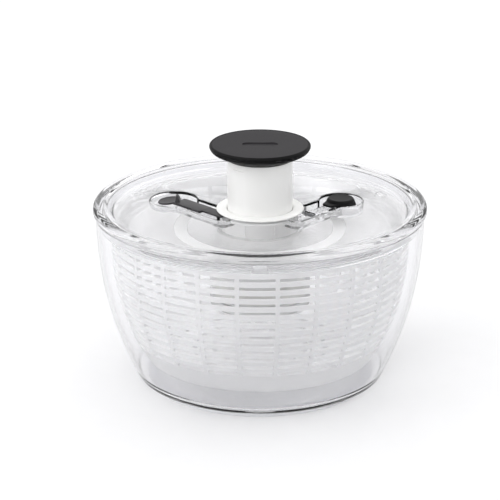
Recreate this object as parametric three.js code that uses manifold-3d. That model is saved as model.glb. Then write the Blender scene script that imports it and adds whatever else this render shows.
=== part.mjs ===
// Salad spinner: a clear bowl, a slotted basket that turns on a pivot in the bowl's floor, and a clear
// lid whose pump knob drives the basket through a twisted rod, a nut and a one-way clutch.
// Millimetres, +Z up. The origin is on the axis, on the surface that the bowl stands on, and the front is -Y.
// The knob is up, which is the free end of its stroke.

import * as THREE from "three";
import { mergeVertices } from "three/addons/utils/BufferGeometryUtils.js";
import Module from "manifold-3d";

const wasm = await Module();
wasm.setup();

// ---------- driving dimensions ----------

const gap = 0.3; // between pieces that touch or are joined
const running = 0.4; // between pieces that slide or turn on each other
const overlap = 0.5; // how far joined shapes of one piece run into each other
const coarse = 40; // facets round the large shells
const medium = 32; // facets round the mechanism
const small = 24; // facets round the nut and what turns with it
const fine = 12; // facets round pins and screws

const bowlRimRadius = 133;
const bowlRimHeight = 142.7;
const bowlFlare = 35; // how much narrower the bowl's curve is at the surface it stands on
const bowlCurve = 2.15; // exponent of the bowl's curve
const bowlWall = 3;
const bowlUnderside = 3.8;
const bowlFloor = 3.7;
const footOuter = 93;
const footInner = 84;
const pivotBase = 12;
const pivotTip = 5;
const pivotHeight = 24; // above the bowl's floor

const basketRimRadius = 122;
const basketRimHeight = 134;
const basketRimDepth = 3;
const basketRimWidth = 4.5;
const basketBottom = 21;
const basketFlare = 27;
const basketCurve = 2.6;
const basketWall = 2.2;
const basketFloor = 2.5;
const slotBays = 24;
const slotRows = 13;
const slotPitch = 6.9;
const slotHeight = 3.2;
const slotTop = 125.2; // centre of the uppermost row of slots
const ribWidth = 3.2;
const ribTurn = -8.5; // degrees from the front to the nearest rib
const floorRings = [36, 52, 68]; // radii of the arcs of slots in the basket's floor
const floorSlot = 4;
const driveLugs = 3;
const lugWidth = 11;
const lugHeight = 3;

const lidRadius = 135;
const lidTop = 150;
const plateTop = 142.7;
const plateThick = 2.5;
const plateRadius = 119;
const rimEdge = 3; // rounding of the lid's outer edge
const skirtDepth = 8.7; // of the ring that centres the lid in the bowl
const skirtWall = 2.3;
const skirtFit = 0.8; // between that ring and the bowl's wall

const armAngle = 46; // degrees between the X axis and the two recesses
const armOffset = 31.1; // from the axis to a recess's centreline
const armReach = 65.6; // along that centreline, from beside the axis to the middle of the finger well
const channelWidth = 24;
const channelCorner = 6;
const channelPast = 1.5; // the channel runs this far past the point beside the axis
const recessWall = 2;
// Each recess's round well, from the recess's own origin, and the depths of its channel and well.
const lockRecess = { x: -2, y: -1.5, radius: 18.8, depth: 6.5, wellDepth: 6.5 };
const brakeRecess = { x: 2.8, y: 0, radius: 17.3, depth: 8.2, wellDepth: 11.2 };

const sleeveRadius = 26.3;
const sleeveWall = 2.5;
const sleeveTop = 186;
const sleeveBottom = 128;
const stroke = 40;
const sleeveRoof = 3;
const sleeveRelief = 0.6; // the sleeve is this much thinner behind the stop ring
const stopHeight = 2.5;
const notchDepth = 1.3;
const notchHalf = 14; // along the recess, so that the notch runs out of the sleeve's side
const collarFlange = 35.5;
const collarHeight = 1.9;
const collarWall = 1.8;
const housingWall = 2.2;
const housingFloor = 84; // underside
const springRoom = 5.8; // between the sleeve's inside and the tower, for the return spring
const towerBore = 10.5;
const towerTop = 112;
const flangeWidth = 5.5; // of the housing's flange under the lid's plate
const flangeThick = 2.2;
const gussetCount = 8;
const gussetWidth = 2;
const gussetThick = 1.6;
const nutHeight = 7;
const nutRoom = 0.4; // between the washer's edge and the cover
const coverWall = 2;

const rodWidth = 12;
const rodThick = 3;
const rodLead = 30; // of the twist, per turn
const twistStep = 0.5; // height between the sections that the twist is drawn with
const rodBottom = 112;
const rodHeadRadius = 9;
const rodHeadThick = 5;
const screwRadius = 1.8;
const screwBore = 2.1; // in the rod
const screwHole = 2.3; // in the sleeve's roof
const screwDepth = 8;
const screwHead = 4;
const screwHeadHeight = 3;
const stemBottom = 70.5;
const springWire = 1.6;
const springTurns = 9;

const knobRadius = 40.8;
const knobHeight = 12.2;
const knobSeat = 29; // radius of the knob's underside, where it meets the sleeve
const padDepth = 4.5;
const knobPocket = 4.2; // depth of the hollow over the screw's head
const knobPocketRadius = 5;

const discTop = 124.5;
const discThick = 2;
const discRadius = 107;
const trackInner = 60.5;
const trackOuter = 70.5;
const trackThick = 1.2;
const hubRadius = 41;
const hubWall = 2;
const hubShoulder = 118;
const neckRoom = 2.2; // between the housing and the disc's neck round it
const hubBottom = 64.3;
const capFlange = 2.3;

const ratchetTeeth = 16;
const ratchetTip = 21;
const ratchetRoot = 19;
const ratchetThick = 4;
const pawlCount = 3;
const postRadius = 1.8;
const postReach = ratchetTip + 8; // from the axis to a pawl's post
const pawlPlateTop = 76.4;
const pawlPlateThick = 2.8;

const lockThick = 1.4; // of the tongue
const lockArmThick = 2;
const lockArmWidth = 14;
const lockArmShift = -1; // of the arm's middle from the recess's centreline
const tongueFront = -5; // the tongue's outer edge, from the recess's centreline
const paddleRadius = 9.3;
const paddleThick = 1.6;
const paddleTilt = 8; // degrees, down towards the finger
const finHeight = 6;
const finWidth = 14.6;
const leverDisc = 8.8;
const leverThick = 3;
const leverDepth = 5.5; // of the lever's underside below the plate
const leverHalf = 5;
const buttonTop = 10.2;
const buttonBase = 12.85;
const buttonHeight = 6.7;
const brakePivot = 27; // along the recess, from beside the axis to the lever's pin
const brakeStem = 8; // from the middle of the well towards the axis, to the stem over the brake track
const pinRadius = 1.2;

// ---------- places that follow from them ----------

const plateUnder = plateTop - plateThick;
const collarBore = sleeveRadius + gap;
const collarOuter = collarBore + collarWall;
const housingBore = collarOuter + running;
const housingOuter = housingBore + housingWall;
const lidBore = housingOuter + running;
const collarBase = plateTop + gap;
const collarTop = collarBase + collarHeight;
const sleeveInner = sleeveRadius - sleeveWall;
const towerRadius = sleeveInner - springRoom;
const nutRadius = towerRadius - coverWall - nutRoom;
const hubNeck = housingOuter + neckRoom;
const sleeveCeiling = sleeveTop - sleeveRoof;
const stopTop = sleeveBottom + stopHeight;
const collarFoot = stopTop + gap;
const housingTop = plateUnder - gap;
const housingInside = housingFloor + housingWall;
const nutBottom = towerTop + 1.4;
const nutTop = nutBottom + nutHeight;
const bowlInsideFloor = bowlUnderside + bowlFloor;
const pivotTop = bowlInsideFloor + pivotHeight;
const lockBase = plateTop - 1.5;
const lockArmBase = plateTop - lockArmThick;
const leverLow = plateTop - leverDepth;
const leverHigh = leverLow + leverThick;
const pinHeight = leverLow + leverThick / 2;
const degrees = Math.PI / 180;

// ---------- shape helpers ----------

const point = (r, z) => new THREE.Vector2(r, z);

// A closed mesh as a solid for joining and cutting.
function solid(geometry) {
  const bare = geometry.clone();
  for (const name of Object.keys(bare.attributes)) {
    if (name !== "position") bare.deleteAttribute(name);
  }
  const merged = mergeVertices(bare, 1e-4);
  return new wasm.Manifold(
    new wasm.Mesh({
      numProp: 3,
      vertProperties: new Float32Array(merged.attributes.position.array),
      triVerts: new Uint32Array(merged.index.array),
    }),
  );
}

// A solid back as a geometry with flat faces.
function geometryOf(made) {
  const { vertProperties, triVerts, numProp } = made.getMesh();
  const corners = new Float32Array(triVerts.length * 3);
  triVerts.forEach((v, i) => corners.set(vertProperties.subarray(v * numProp, v * numProp + 3), i * 3));
  const geometry = new THREE.BufferGeometry();
  geometry.setAttribute("position", new THREE.BufferAttribute(corners, 3));
  geometry.computeVertexNormals();
  return geometry;
}

// A profile of (radius, height) points turned round the Z axis. It starts and ends on the axis or closes
// on itself.
function turned(profile, facets, start = 0, sweep = 2 * Math.PI) {
  const outline = THREE.ShapeUtils.isClockWise(profile) ? [...profile].reverse() : [...profile];
  const onAxis = profile[0].x === 0 && profile[profile.length - 1].x === 0;
  if (!onAxis) outline.push(outline[0].clone());
  return solid(new THREE.LatheGeometry(outline, facets, start, sweep).rotateX(Math.PI / 2));
}

const ring = (inner, outer, low, high, facets = medium) =>
  turned([point(inner, low), point(outer, low), point(outer, high), point(inner, high)], facets);

const disc = (radius, low, high, facets = medium) =>
  turned([point(0, low), point(radius, low), point(radius, high), point(0, high)], facets);

function block(x0, x1, y0, y1, z0, z1) {
  const box = new THREE.BoxGeometry(x1 - x0, y1 - y0, z1 - z0);
  return solid(box.translate((x0 + x1) / 2, (y0 + y1) / 2, (z0 + z1) / 2));
}

function prism(shape, low, high, curveSegments = 12) {
  const extruded = new THREE.ExtrudeGeometry(shape, { depth: high - low, bevelEnabled: false, curveSegments });
  return solid(extruded.translate(0, 0, low));
}

const join = (...solids) => solids.reduce((whole, next) => whole.add(next));
const cut = (whole, ...tools) => tools.reduce((left, tool) => left.subtract(tool), whole);

// ---------- materials ----------

const paint = (color, roughness, extra = {}) =>
  new THREE.MeshStandardMaterial({ color, roughness, metalness: 0, ...extra });
const clearPlastic = paint(0xf2f4f6, 0.05, { transparent: true, opacity: 0.3 });
const milkyPlastic = paint(0xf4f5f6, 0.35, { transparent: true, opacity: 0.6 });
const footRubber = paint(0xc9cbd0, 0.4, { transparent: true, opacity: 0.7 });
const whitePlastic = paint(0xf5f5f3, 0.3);
const blackPlastic = paint(0x1b1b1d, 0.45);
const softBlack = paint(0x2a2a2d, 0.7);
const greyPlastic = paint(0x4d4a4d, 0.4);
const acetal = paint(0xe9e7e0, 0.4);
const steel = paint(0xb9bcc0, 0.3, { metalness: 1 });

const spinner = new THREE.Group();

function piece(name, made, material, group = spinner) {
  const mesh = new THREE.Mesh(geometryOf(made), material);
  mesh.name = name;
  group.add(mesh);
  return mesh;
}

// ---------- bowl ----------

const bowlRadius = (z) => bowlRimRadius - bowlFlare * (1 - z / bowlRimHeight) ** bowlCurve;

// Heights from low to high, closer together near the bottom, where the curve is tighter.
const heights = (low, high, count) =>
  Array.from({ length: count + 1 }, (_, i) => low + (high - low) * (i / count) ** 1.5);

function bowl() {
  const outerFoot = bowlUnderside + 3;
  const innerFoot = bowlInsideFloor + 4;
  const outside = heights(outerFoot, bowlRimHeight - 1, 7).map((z) => point(bowlRadius(z), z));
  const inside = heights(innerFoot, bowlRimHeight, 6).map((z) => point(bowlRadius(z) - bowlWall, z));
  const cornerInside = bowlRadius(innerFoot) - bowlWall - 5;
  return turned(
    [
      point(0, bowlUnderside),
      point(footOuter + 0.8, bowlUnderside),
      ...outside,
      point(bowlRimRadius - 1, bowlRimHeight),
      ...inside.reverse(),
      point(cornerInside, bowlInsideFloor),
      point(pivotBase, bowlInsideFloor),
      point(pivotTip, pivotTop - 2),
      point(pivotTip - 2, pivotTop),
      point(0, pivotTop),
    ],
    coarse,
  );
}

function footRing() {
  return ring(footInner, footOuter, 0, bowlUnderside - gap, coarse);
}

// ---------- basket ----------

const basketSpan = basketRimHeight - basketBottom;
const basketRadius = (z) =>
  basketRimRadius - 1 - basketFlare * (1 - (z - basketBottom) / basketSpan) ** basketCurve;

// The wall bends between the rows of slots, not through them.
function basketShell() {
  const corner = 4;
  const rimBottom = basketRimHeight - basketRimDepth;
  const bends = Array.from({ length: 7 }, (_, i) => slotTop - (12.5 - 2 * i) * slotPitch);
  const outside = [basketBottom + corner, ...bends, rimBottom].map((z) => point(basketRadius(z), z));
  const inside = [basketBottom + corner, ...bends, basketRimHeight].map((z) =>
    point(Math.min(basketRadius(z) - basketWall, basketRimRadius - basketRimWidth), z),
  );
  const floorEdge = basketRadius(basketBottom + corner) - corner;
  const floorTop = basketBottom + basketFloor;
  const cupInside = pivotBase + running;
  const cupTop = pivotTop + gap;
  return turned(
    [
      point(0, cupTop),
      point(pivotTip + running, cupTop),
      point(cupInside, basketBottom),
      point(floorEdge, basketBottom),
      ...outside,
      point(basketRimRadius, rimBottom),
      point(basketRimRadius, basketRimHeight),
      ...inside.reverse(),
      point(floorEdge - basketWall, floorTop),
      point(cupInside + basketFloor, floorTop),
      point(pivotTip + running + basketFloor, cupTop + basketFloor),
      point(0, cupTop + basketFloor),
    ],
    slotBays,
    ribTurn * degrees,
  );
}

// The ribs stand between the bays of slots, from the axis outwards.
function ribs(count, width, low, high) {
  const bars = Array.from({ length: count }, (_, i) => {
    const bar = new THREE.BoxGeometry(basketRimRadius + 5, width, high - low);
    bar.translate((basketRimRadius + 5) / 2, 0, (low + high) / 2);
    return solid(bar.rotateZ((ribTurn - 90 + (i * 360) / count) * degrees));
  });
  return join(...bars);
}

function basket() {
  const rows = Array.from({ length: slotRows }, (_, i) => {
    const middle = slotTop - i * slotPitch;
    const inner = basketRadius(middle - slotHeight) - basketWall - 6;
    return ring(inner, basketRimRadius + 3, middle - slotHeight / 2, middle + slotHeight / 2, slotBays);
  });
  const sides = cut(join(...rows), ribs(slotBays, ribWidth, basketBottom, basketRimHeight));
  const arcs = floorRings.map((r) =>
    turned(
      [
        point(r, basketBottom - 1),
        point(r + floorSlot, basketBottom - 1),
        point(r + floorSlot, basketBottom + basketFloor + 1),
        point(r, basketBottom + basketFloor + 1),
      ],
      slotBays / 2,
      ribTurn * degrees,
    ),
  );
  const floorSlots = cut(join(...arcs), ribs(slotBays / 2, ribWidth * 1.5, basketBottom - 2, basketBottom + 5));
  return cut(basketShell(), sides, floorSlots, ...lugs(lugWidth + 1, lugHeight + 1));
}

// The turner's lugs, and with a larger width and height the notches that they drop into.
function lugs(width, height) {
  const notch = width - lugWidth;
  const inner = basketRimRadius - basketRimWidth - 2.8 - notch;
  const outer = basketRimRadius - 2.7 + notch / 2;
  return Array.from({ length: driveLugs }, (_, i) => {
    const low = basketRimHeight - height;
    const box = new THREE.BoxGeometry(outer - inner, width, height + 1);
    box.translate((outer + inner) / 2, 0, low + (height + 1) / 2);
    return solid(box.rotateZ((30 + (i * 360) / driveLugs) * degrees));
  });
}

// ---------- recesses in the lid ----------

// A recess's own frame has its origin at the middle of the finger well and +X along the channel, towards
// the collar. side is -1 for the lock on the left and 1 for the brake on the right.
const wellMiddle = (side) => {
  const c = Math.cos(armAngle * degrees);
  const s = Math.sin(armAngle * degrees);
  return new THREE.Vector3(side * (armReach * c + armOffset * s), armReach * s - armOffset * c, 0);
};

function recessFrame(side) {
  const frame = new THREE.Group();
  frame.position.copy(wellMiddle(side));
  frame.rotation.z = (side < 0 ? -armAngle : armAngle - 180) * degrees;
  frame.updateMatrixWorld(true);
  return frame;
}

// Moves a solid from a recess's frame to the part's.
const placed = (made, side) => made.transform(recessFrame(side).matrixWorld.elements);

function channelShape(grow) {
  const half = channelWidth / 2 + grow;
  const end = armReach + channelPast + grow;
  const shape = new THREE.Shape();
  shape.moveTo(0, -half);
  shape.lineTo(end - channelCorner, -half);
  shape.absarc(end - channelCorner, -half + channelCorner, channelCorner, -Math.PI / 2, 0, false);
  shape.lineTo(end, half);
  shape.lineTo(0, half);
  return shape;
}

const recessOf = (side) => (side < 0 ? lockRecess : brakeRecess);

// What a recess takes up: the channel and the well, grown sideways and downwards, up to the given top.
function recess(side, grow, down, top) {
  const { x, y, radius, depth, wellDepth } = recessOf(side);
  const floor = plateTop - depth - down;
  return join(
    prism(channelShape(grow), floor, top, 4),
    disc(radius + grow, floor, top, coarse / 2).translate(x, y, 0),
    disc(radius + grow, plateTop - wellDepth - down, top, coarse / 2).translate(x, y, 0),
  );
}

const lockFloor = plateTop - lockRecess.depth;
const brakeFloor = plateTop - brakeRecess.depth;
const brakeWellFloor = plateTop - brakeRecess.wellDepth;

function lidShell() {
  const rimUnder = bowlRimHeight + gap;
  const skirtOuter = bowlRimRadius - bowlWall - skirtFit;
  const skirtInner = skirtOuter - skirtWall;
  const edge = Array.from({ length: 5 }, (_, i) => {
    const turn = (i / 4) * 90 * degrees;
    return point(lidRadius - rimEdge * (1 - Math.cos(turn)), lidTop - rimEdge * (1 - Math.sin(turn)));
  });
  return turned(
    [
      point(lidBore - 0.1, plateUnder),
      point(plateRadius + 1, plateUnder),
      point(plateRadius + 3.5, lidTop - 2.6),
      point(skirtInner, lidTop - 2.6),
      point(skirtInner, rimUnder - skirtDepth),
      point(skirtOuter, rimUnder - skirtDepth),
      point(skirtOuter, rimUnder),
      point(lidRadius - 0.8, rimUnder),
      point(lidRadius, rimUnder + 0.8),
      ...edge,
      point(plateRadius + 4.5, lidTop - 0.4),
      point(plateRadius + 2.6, lidTop - 2),
      point(plateRadius, plateTop),
      point(lidBore - 0.1, plateTop),
    ],
    coarse,
  );
}

function lid() {
  let made = lidShell();
  for (const side of [-1, 1]) {
    made = made.add(placed(recess(side, recessWall, recessWall, plateUnder + 0.1), side));
  }
  for (const side of [-1, 1]) {
    made = made.subtract(placed(recess(side, 0, 0, plateTop + 1), side));
  }
  const rail = block(14, armReach - 16, -2, 2, lockFloor - 0.1, lockArmBase - running);
  const earEnd = channelWidth / 2 + 0.1;
  const ear = block(earX - 3, earX + 3, bossHalf + running, earEnd, brakeFloor - 0.1, plateTop);
  const ears = join(ear, ear.mirror([0, 1, 0]));
  const pinHole = pin(pinRadius + 0.2, earEnd * 2 - 1);
  made = join(made, placed(rail, -1), placed(cut(ears, pinHole), 1));
  const stemHole = disc(brakeStemRadius + 1, brakeWellFloor - 5, plateTop, fine).translate(brakeStem, 0, 0);
  return cut(made, placed(stemHole, 1), disc(lidBore, 100, lidTop, coarse));
}

// ---------- collar and housing ----------

function collar() {
  const body = turned(
    [
      point(collarBore, collarFoot),
      point(collarOuter, collarFoot),
      point(collarOuter, collarBase),
      point(collarFlange - 0.6, collarBase),
      point(collarFlange, collarBase + 0.6),
      point(collarFlange - 0.8, collarTop - 0.4),
      point(collarFlange - 2.6, collarTop),
      point(collarBore + 1, collarTop),
      point(collarBore, collarTop - 1),
    ],
    medium,
  );
  const [low, high] = [lockBase - gap, lockBase + lockThick + gap];
  return cut(body, placed(block(0, armReach + 8, tongueFront - gap, noseSide + gap, low, high), -1));
}

function housing() {
  const tower = turned(
    [
      point(towerBore, housingFloor),
      point(housingOuter, housingFloor),
      point(housingOuter, housingTop),
      point(housingBore, housingTop),
      point(housingBore, housingInside),
      point(towerRadius, housingInside),
      point(towerRadius, towerTop),
      point(towerBore, towerTop),
    ],
    medium,
  );
  const inside = housingOuter - overlap;
  let flange = ring(inside, housingOuter + flangeWidth, housingTop - flangeThick, housingTop, medium);
  const gussets = Array.from({ length: gussetCount }, (_, i) =>
    block(
      inside,
      housingOuter + gussetWidth,
      -gussetThick / 2,
      gussetThick / 2,
      discTop + trackThick + gap,
      housingTop - overlap,
    ).rotate([0, 0, ((i + 0.5) * 360) / gussetCount]),
  );
  flange = join(flange, ...gussets);
  for (const side of [-1, 1]) {
    const taken = recess(side, recessWall + running, recessWall + running, lidTop);
    flange = flange.subtract(placed(taken, side));
  }
  const parts = flange.decompose().filter((part) => part.volume() > 20);
  return join(tower, ...parts);
}

function nutCover() {
  const coverTop = nutTop + 1 + coverWall;
  return turned(
    [
      point(towerRadius - coverWall, towerTop + gap),
      point(towerRadius, towerTop + gap),
      point(towerRadius, coverTop),
      point(rodWidth / 2 + 2, coverTop),
      point(rodWidth / 2 + 2, coverTop - coverWall),
      point(towerRadius - coverWall, coverTop - coverWall),
    ],
    small,
  );
}

const thrustWasher = () => ring(towerBore + 0.3, nutRadius, towerTop + gap, nutBottom - gap, small);

// ---------- plunger ----------

function sleeve() {
  const body = turned(
    [
      point(screwHole, sleeveCeiling),
      point(sleeveInner, sleeveCeiling),
      point(sleeveInner, sleeveBottom + stopHeight),
      point(sleeveInner, sleeveBottom),
      point(sleeveRadius - sleeveRelief, sleeveBottom),
      point(sleeveRadius - sleeveRelief, stopTop + gap),
      point(sleeveRadius, stopTop + gap + 0.4),
      point(sleeveRadius, sleeveTop),
      point(screwHole, sleeveTop),
    ],
    medium,
  );
  const notch = (z) => {
    const side = armOffset - sleeveRadius + notchDepth;
    return placed(block(armReach - notchHalf, armReach + notchHalf, side - 4, side, z - gap, z + lockThick + gap), -1);
  };
  return cut(body, notch(lockBase), notch(lockBase + stroke));
}

const stopRing = () => ring(sleeveRadius - gap, collarOuter, sleeveBottom, stopTop, medium);

// A strip that stands on the rod's lower end and turns once in every lead, as a bar would be twisted.
function twistedStrip(width, thick, high) {
  const steps = Math.ceil((high - rodBottom) / twistStep);
  const section = new THREE.Shape([
    point(-width / 2, -thick / 2),
    point(width / 2, -thick / 2),
    point(width / 2, thick / 2),
    point(-width / 2, thick / 2),
  ]);
  const strip = new THREE.ExtrudeGeometry(section, { depth: steps * twistStep, steps, bevelEnabled: false });
  strip.translate(0, 0, rodBottom);
  const corner = new THREE.Vector3();
  const places = strip.attributes.position;
  for (let i = 0; i < places.count; i++) {
    corner.fromBufferAttribute(places, i);
    corner.applyAxisAngle(new THREE.Vector3(0, 0, 1), ((corner.z - rodBottom) / rodLead) * 2 * Math.PI);
    places.setXYZ(i, corner.x, corner.y, corner.z);
  }
  return solid(strip);
}

const rodHeadTop = sleeveCeiling - gap;

function twistRod() {
  const head = ring(screwBore, rodHeadRadius, rodHeadTop - rodHeadThick, rodHeadTop, fine);
  const bore = disc(screwBore, rodHeadTop - screwDepth - 1, rodHeadTop + 1, fine);
  return cut(join(head, twistedStrip(rodWidth, rodThick, rodHeadTop - 3)), bore);
}

const rodScrew = () =>
  join(
    disc(screwRadius, rodHeadTop - screwDepth, sleeveTop + overlap, fine),
    disc(screwHead, sleeveTop + gap, sleeveTop + screwHeadHeight, fine),
  );

function knobBody() {
  const low = sleeveTop + gap;
  const padBase = sleeveTop + knobHeight - padDepth;
  return turned(
    [
      point(knobPocketRadius, low),
      point(knobSeat, low),
      point(knobRadius - 6, low + 3.4),
      point(knobRadius - 2.6, padBase - gap),
      point(0, padBase - gap),
      point(0, low + knobPocket),
      point(knobPocketRadius, low + knobPocket),
    ],
    coarse,
  );
}

function knobPad() {
  const top = sleeveTop + knobHeight;
  const base = top - padDepth;
  return turned(
    [
      point(0, base),
      point(knobRadius - 2.4, base),
      point(knobRadius - 0.4, base + 1.6),
      point(knobRadius, base + 2.6),
      point(knobRadius - 0.9, top - 0.7),
      point(knobRadius - 2.4, top),
      point(22, top - 0.3),
      point(0, top - 0.8),
    ],
    coarse,
  );
}

// ---------- springs ----------

class Coil extends THREE.Curve {
  constructor(radius, low, high, turns) {
    super();
    Object.assign(this, { radius, low, high, turns });
  }
  getPoint(t, target = new THREE.Vector3()) {
    const turn = t * this.turns * 2 * Math.PI;
    const z = this.low + (this.high - this.low) * t;
    return target.set(this.radius * Math.cos(turn), this.radius * Math.sin(turn), z);
  }
}

function spring(radius, wire, low, high, turns) {
  const sides = Array.from({ length: 4 }, (_, i) => {
    const turn = (i / 4) * 2 * Math.PI;
    return point((wire / 2) * Math.cos(turn), (wire / 2) * Math.sin(turn));
  });
  const extrudePath = new Coil(radius, low + wire / 2, high - wire / 2, turns);
  return solid(new THREE.ExtrudeGeometry(new THREE.Shape(sides), { steps: turns * 9, extrudePath }));
}

const returnSpring = () => {
  const middle = (towerRadius + sleeveInner) / 2;
  return spring(middle, springWire, housingInside + gap, sleeveCeiling - gap, springTurns);
};

// ---------- drive nut and clutch ----------

function driveNut() {
  const stemRadius = towerBore - running;
  const stemBore = rodWidth / 2 + 2 * running;
  const body = turned(
    [
      point(stemBore, stemBottom),
      point(stemRadius, stemBottom),
      point(stemRadius, clipLow - 0.2),
      point(stemRadius - 1, clipLow - 0.2),
      point(stemRadius - 1, clipLow + clipThick + 0.2),
      point(stemRadius, clipLow + clipThick + 0.2),
      point(stemRadius, nutBottom),
      point(nutRadius - running, nutBottom),
      point(nutRadius - running, nutTop),
      point(0, nutTop),
      point(0, nutBottom),
      point(stemBore, nutBottom),
    ],
    small,
  );
  return cut(body, twistedStrip(rodWidth + 1, rodThick + 1, nutTop + 1));
}

function ratchetWheel() {
  const teeth = [];
  for (let i = 0; i < ratchetTeeth; i++) {
    const turn = (i / ratchetTeeth) * 2 * Math.PI;
    teeth.push(point(ratchetTip * Math.cos(turn), ratchetTip * Math.sin(turn)));
    teeth.push(point(ratchetRoot * Math.cos(turn + 0.03), ratchetRoot * Math.sin(turn + 0.03)));
  }
  const wheel = prism(new THREE.Shape(teeth), ratchetLow, ratchetLow + ratchetThick);
  return cut(wheel, disc(towerBore - running + gap, ratchetLow - 1, ratchetLow + ratchetThick + 1));
}

const clipThick = 1.4;
const clipLow = pawlPlateTop - pawlPlateThick - gap - clipThick;
const ratchetLow = pawlPlateTop + 1.6;

function retainingClip() {
  const stemGroove = towerBore - running - 1;
  const whole = ring(stemGroove + gap, stemGroove + 6, clipLow, clipLow + clipThick, small);
  return cut(whole, block(0, 20, -4, 4, clipLow - 1, clipLow + clipThick + 1));
}

// ---------- turner ----------

function turnerDisc() {
  const flangeLow = basketRimHeight + 0.4;
  const wallTop = basketRimRadius - basketRimWidth - 3;
  const inner = hubRadius - hubWall;
  const body = turned(
    [
      point(hubNeck, discTop),
      point(hubNeck, hubShoulder),
      point(inner, hubShoulder - 9),
      point(inner, hubBottom),
      point(hubRadius, hubBottom),
      point(hubRadius, hubShoulder - 9.5),
      point(hubNeck + hubWall + 0.2, hubShoulder - 0.5),
      point(hubNeck + hubWall + 0.2, discTop - discThick),
      point(discRadius, discTop - discThick),
      point(wallTop, flangeLow),
      point(basketRimRadius - 1, flangeLow),
      point(basketRimRadius - 1, flangeLow + 1.8),
      point(wallTop - 1, flangeLow + 1.8),
      point(discRadius - 1.2, discTop),
    ],
    coarse,
  );
  const track = ring(trackInner - 0.3, trackOuter + 0.3, discTop - trackThick / 2, discTop + 2, coarse);
  const ledge = ring(inner - 2.4, inner + 1, clipLow - 1, clipLow + 0.7, coarse);
  return join(cut(body, track), ledge, ...lugs(lugWidth, lugHeight));
}

const brakeTrack = () => ring(trackInner, trackOuter, discTop - trackThick / 2 + gap, discTop + gap, coarse);

function pawlPlate() {
  const low = pawlPlateTop - pawlPlateThick;
  const plate = ring(towerBore, hubRadius - hubWall - gap - 0.3, low, pawlPlateTop, medium);
  const posts = Array.from({ length: pawlCount }, (_, i) =>
    disc(postRadius, pawlPlateTop - 0.1, ratchetLow + ratchetThick, fine)
      .translate(postReach, 0, 0)
      .rotate([0, 0, (i * 360) / pawlCount]),
  );
  return join(plate, ...posts);
}

// A pawl leans back from its post, with its tooth just clear of the wheel, as it is when a tooth lifts it.
function pawl() {
  const shape = new THREE.Shape();
  const post = postReach;
  shape.moveTo(post + 3.6, 0);
  shape.absarc(post, 0, 3.6, 0, Math.PI / 2, false);
  shape.lineTo(ratchetTip + 2.4, -1);
  shape.lineTo(ratchetTip + 1, -10);
  shape.lineTo(ratchetTip + 3.6, -10.6);
  shape.lineTo(post + 1, -6);
  const low = pawlPlateTop + gap;
  const eye = disc(postRadius + gap, low - 1, low + 9, fine).translate(post, 0, 0);
  return cut(prism(shape, low, ratchetLow + ratchetThick - 0.4, 6), eye);
}

function hubCap() {
  const low = hubBottom - gap - capFlange;
  const plug = hubRadius - hubWall - gap;
  return turned(
    [
      point(0, low),
      point(hubRadius - 1.5, low),
      point(hubRadius, low + 1.5),
      point(hubRadius, low + capFlange),
      point(plug, low + capFlange),
      point(plug, low + capFlange + 3),
      point(plug - 2, low + capFlange + 3),
      point(plug - 2, low + capFlange),
      point(0, low + capFlange),
    ],
    medium,
  );
}

// ---------- lock ----------

// The tongue runs from the recess's centreline side to the flat of the sleeve's notch, and at rest stops
// just short of the sleeve.
const notchLine = sleeveRadius - notchDepth + gap;
const noseSide = armOffset - notchLine;
const noseEnd = armReach - Math.sqrt((sleeveRadius + gap) ** 2 - notchLine ** 2) - 0.2;

// A thumb fin, upright on the paddle's edge. Its narrow top leans towards the finger.
function fin() {
  const half = finWidth / 2;
  const side = new THREE.Shape([point(-3.5, 0), point(2, 0), point(-0.6, finHeight), point(-1.8, finHeight)]);
  const peak = finHeight + 1;
  const face = new THREE.Shape([point(-half, -1), point(half, -1), point(2.6, peak), point(-2.6, peak)]);
  const across = prism(side, -half, half).rotate([90, 0, 0]);
  const along = prism(face, -half, half).rotate([90, 0, 90]);
  return across.intersect(along);
}

function lockSlide() {
  const half = lockArmWidth / 2;
  const armEnd = armReach - 30;
  const paddle = disc(paddleRadius, -paddleThick / 2, paddleThick / 2, small)
    .rotate([0, -paddleTilt, 0])
    .add(fin().translate(paddleRadius - 1.5, -2, 0))
    .rotate([0, 0, armAngle])
    .translate(-4.6, -4.7, lockArmBase + lockArmThick / 2 - 0.4);
  const arm = block(3, armEnd, lockArmShift - half, lockArmShift + half, lockArmBase, plateTop);
  const tongue = block(armEnd - 1, noseEnd, tongueFront, noseSide, lockBase, lockBase + lockThick);
  return join(paddle, arm, tongue);
}

// ---------- brake ----------

const brakeStemRadius = 3;
const earX = armReach - brakePivot;
const bossHalf = 7;

// A round bar along the pin's line, across the brake's recess.
const pin = (radius, length) =>
  disc(radius, -length / 2, length / 2, fine)
    .rotate([90, 0, 0])
    .translate(earX, 0, pinHeight);

function brakeLever() {
  const body = join(
    disc(leverDisc, leverLow, leverHigh, small).translate(brakeRecess.x, 0, 0),
    block(0, earX - 1, -leverHalf, leverHalf, leverLow, leverHigh),
    block(earX - 4, earX + 2.4, -bossHalf, bossHalf, leverLow, leverHigh),
  );
  const socket = disc(brakeStemRadius + gap, leverLow - 1, leverLow + 1.5, fine).translate(brakeStem, 0, 0);
  return cut(body, pin(pinRadius + gap, 30), socket);
}

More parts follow.
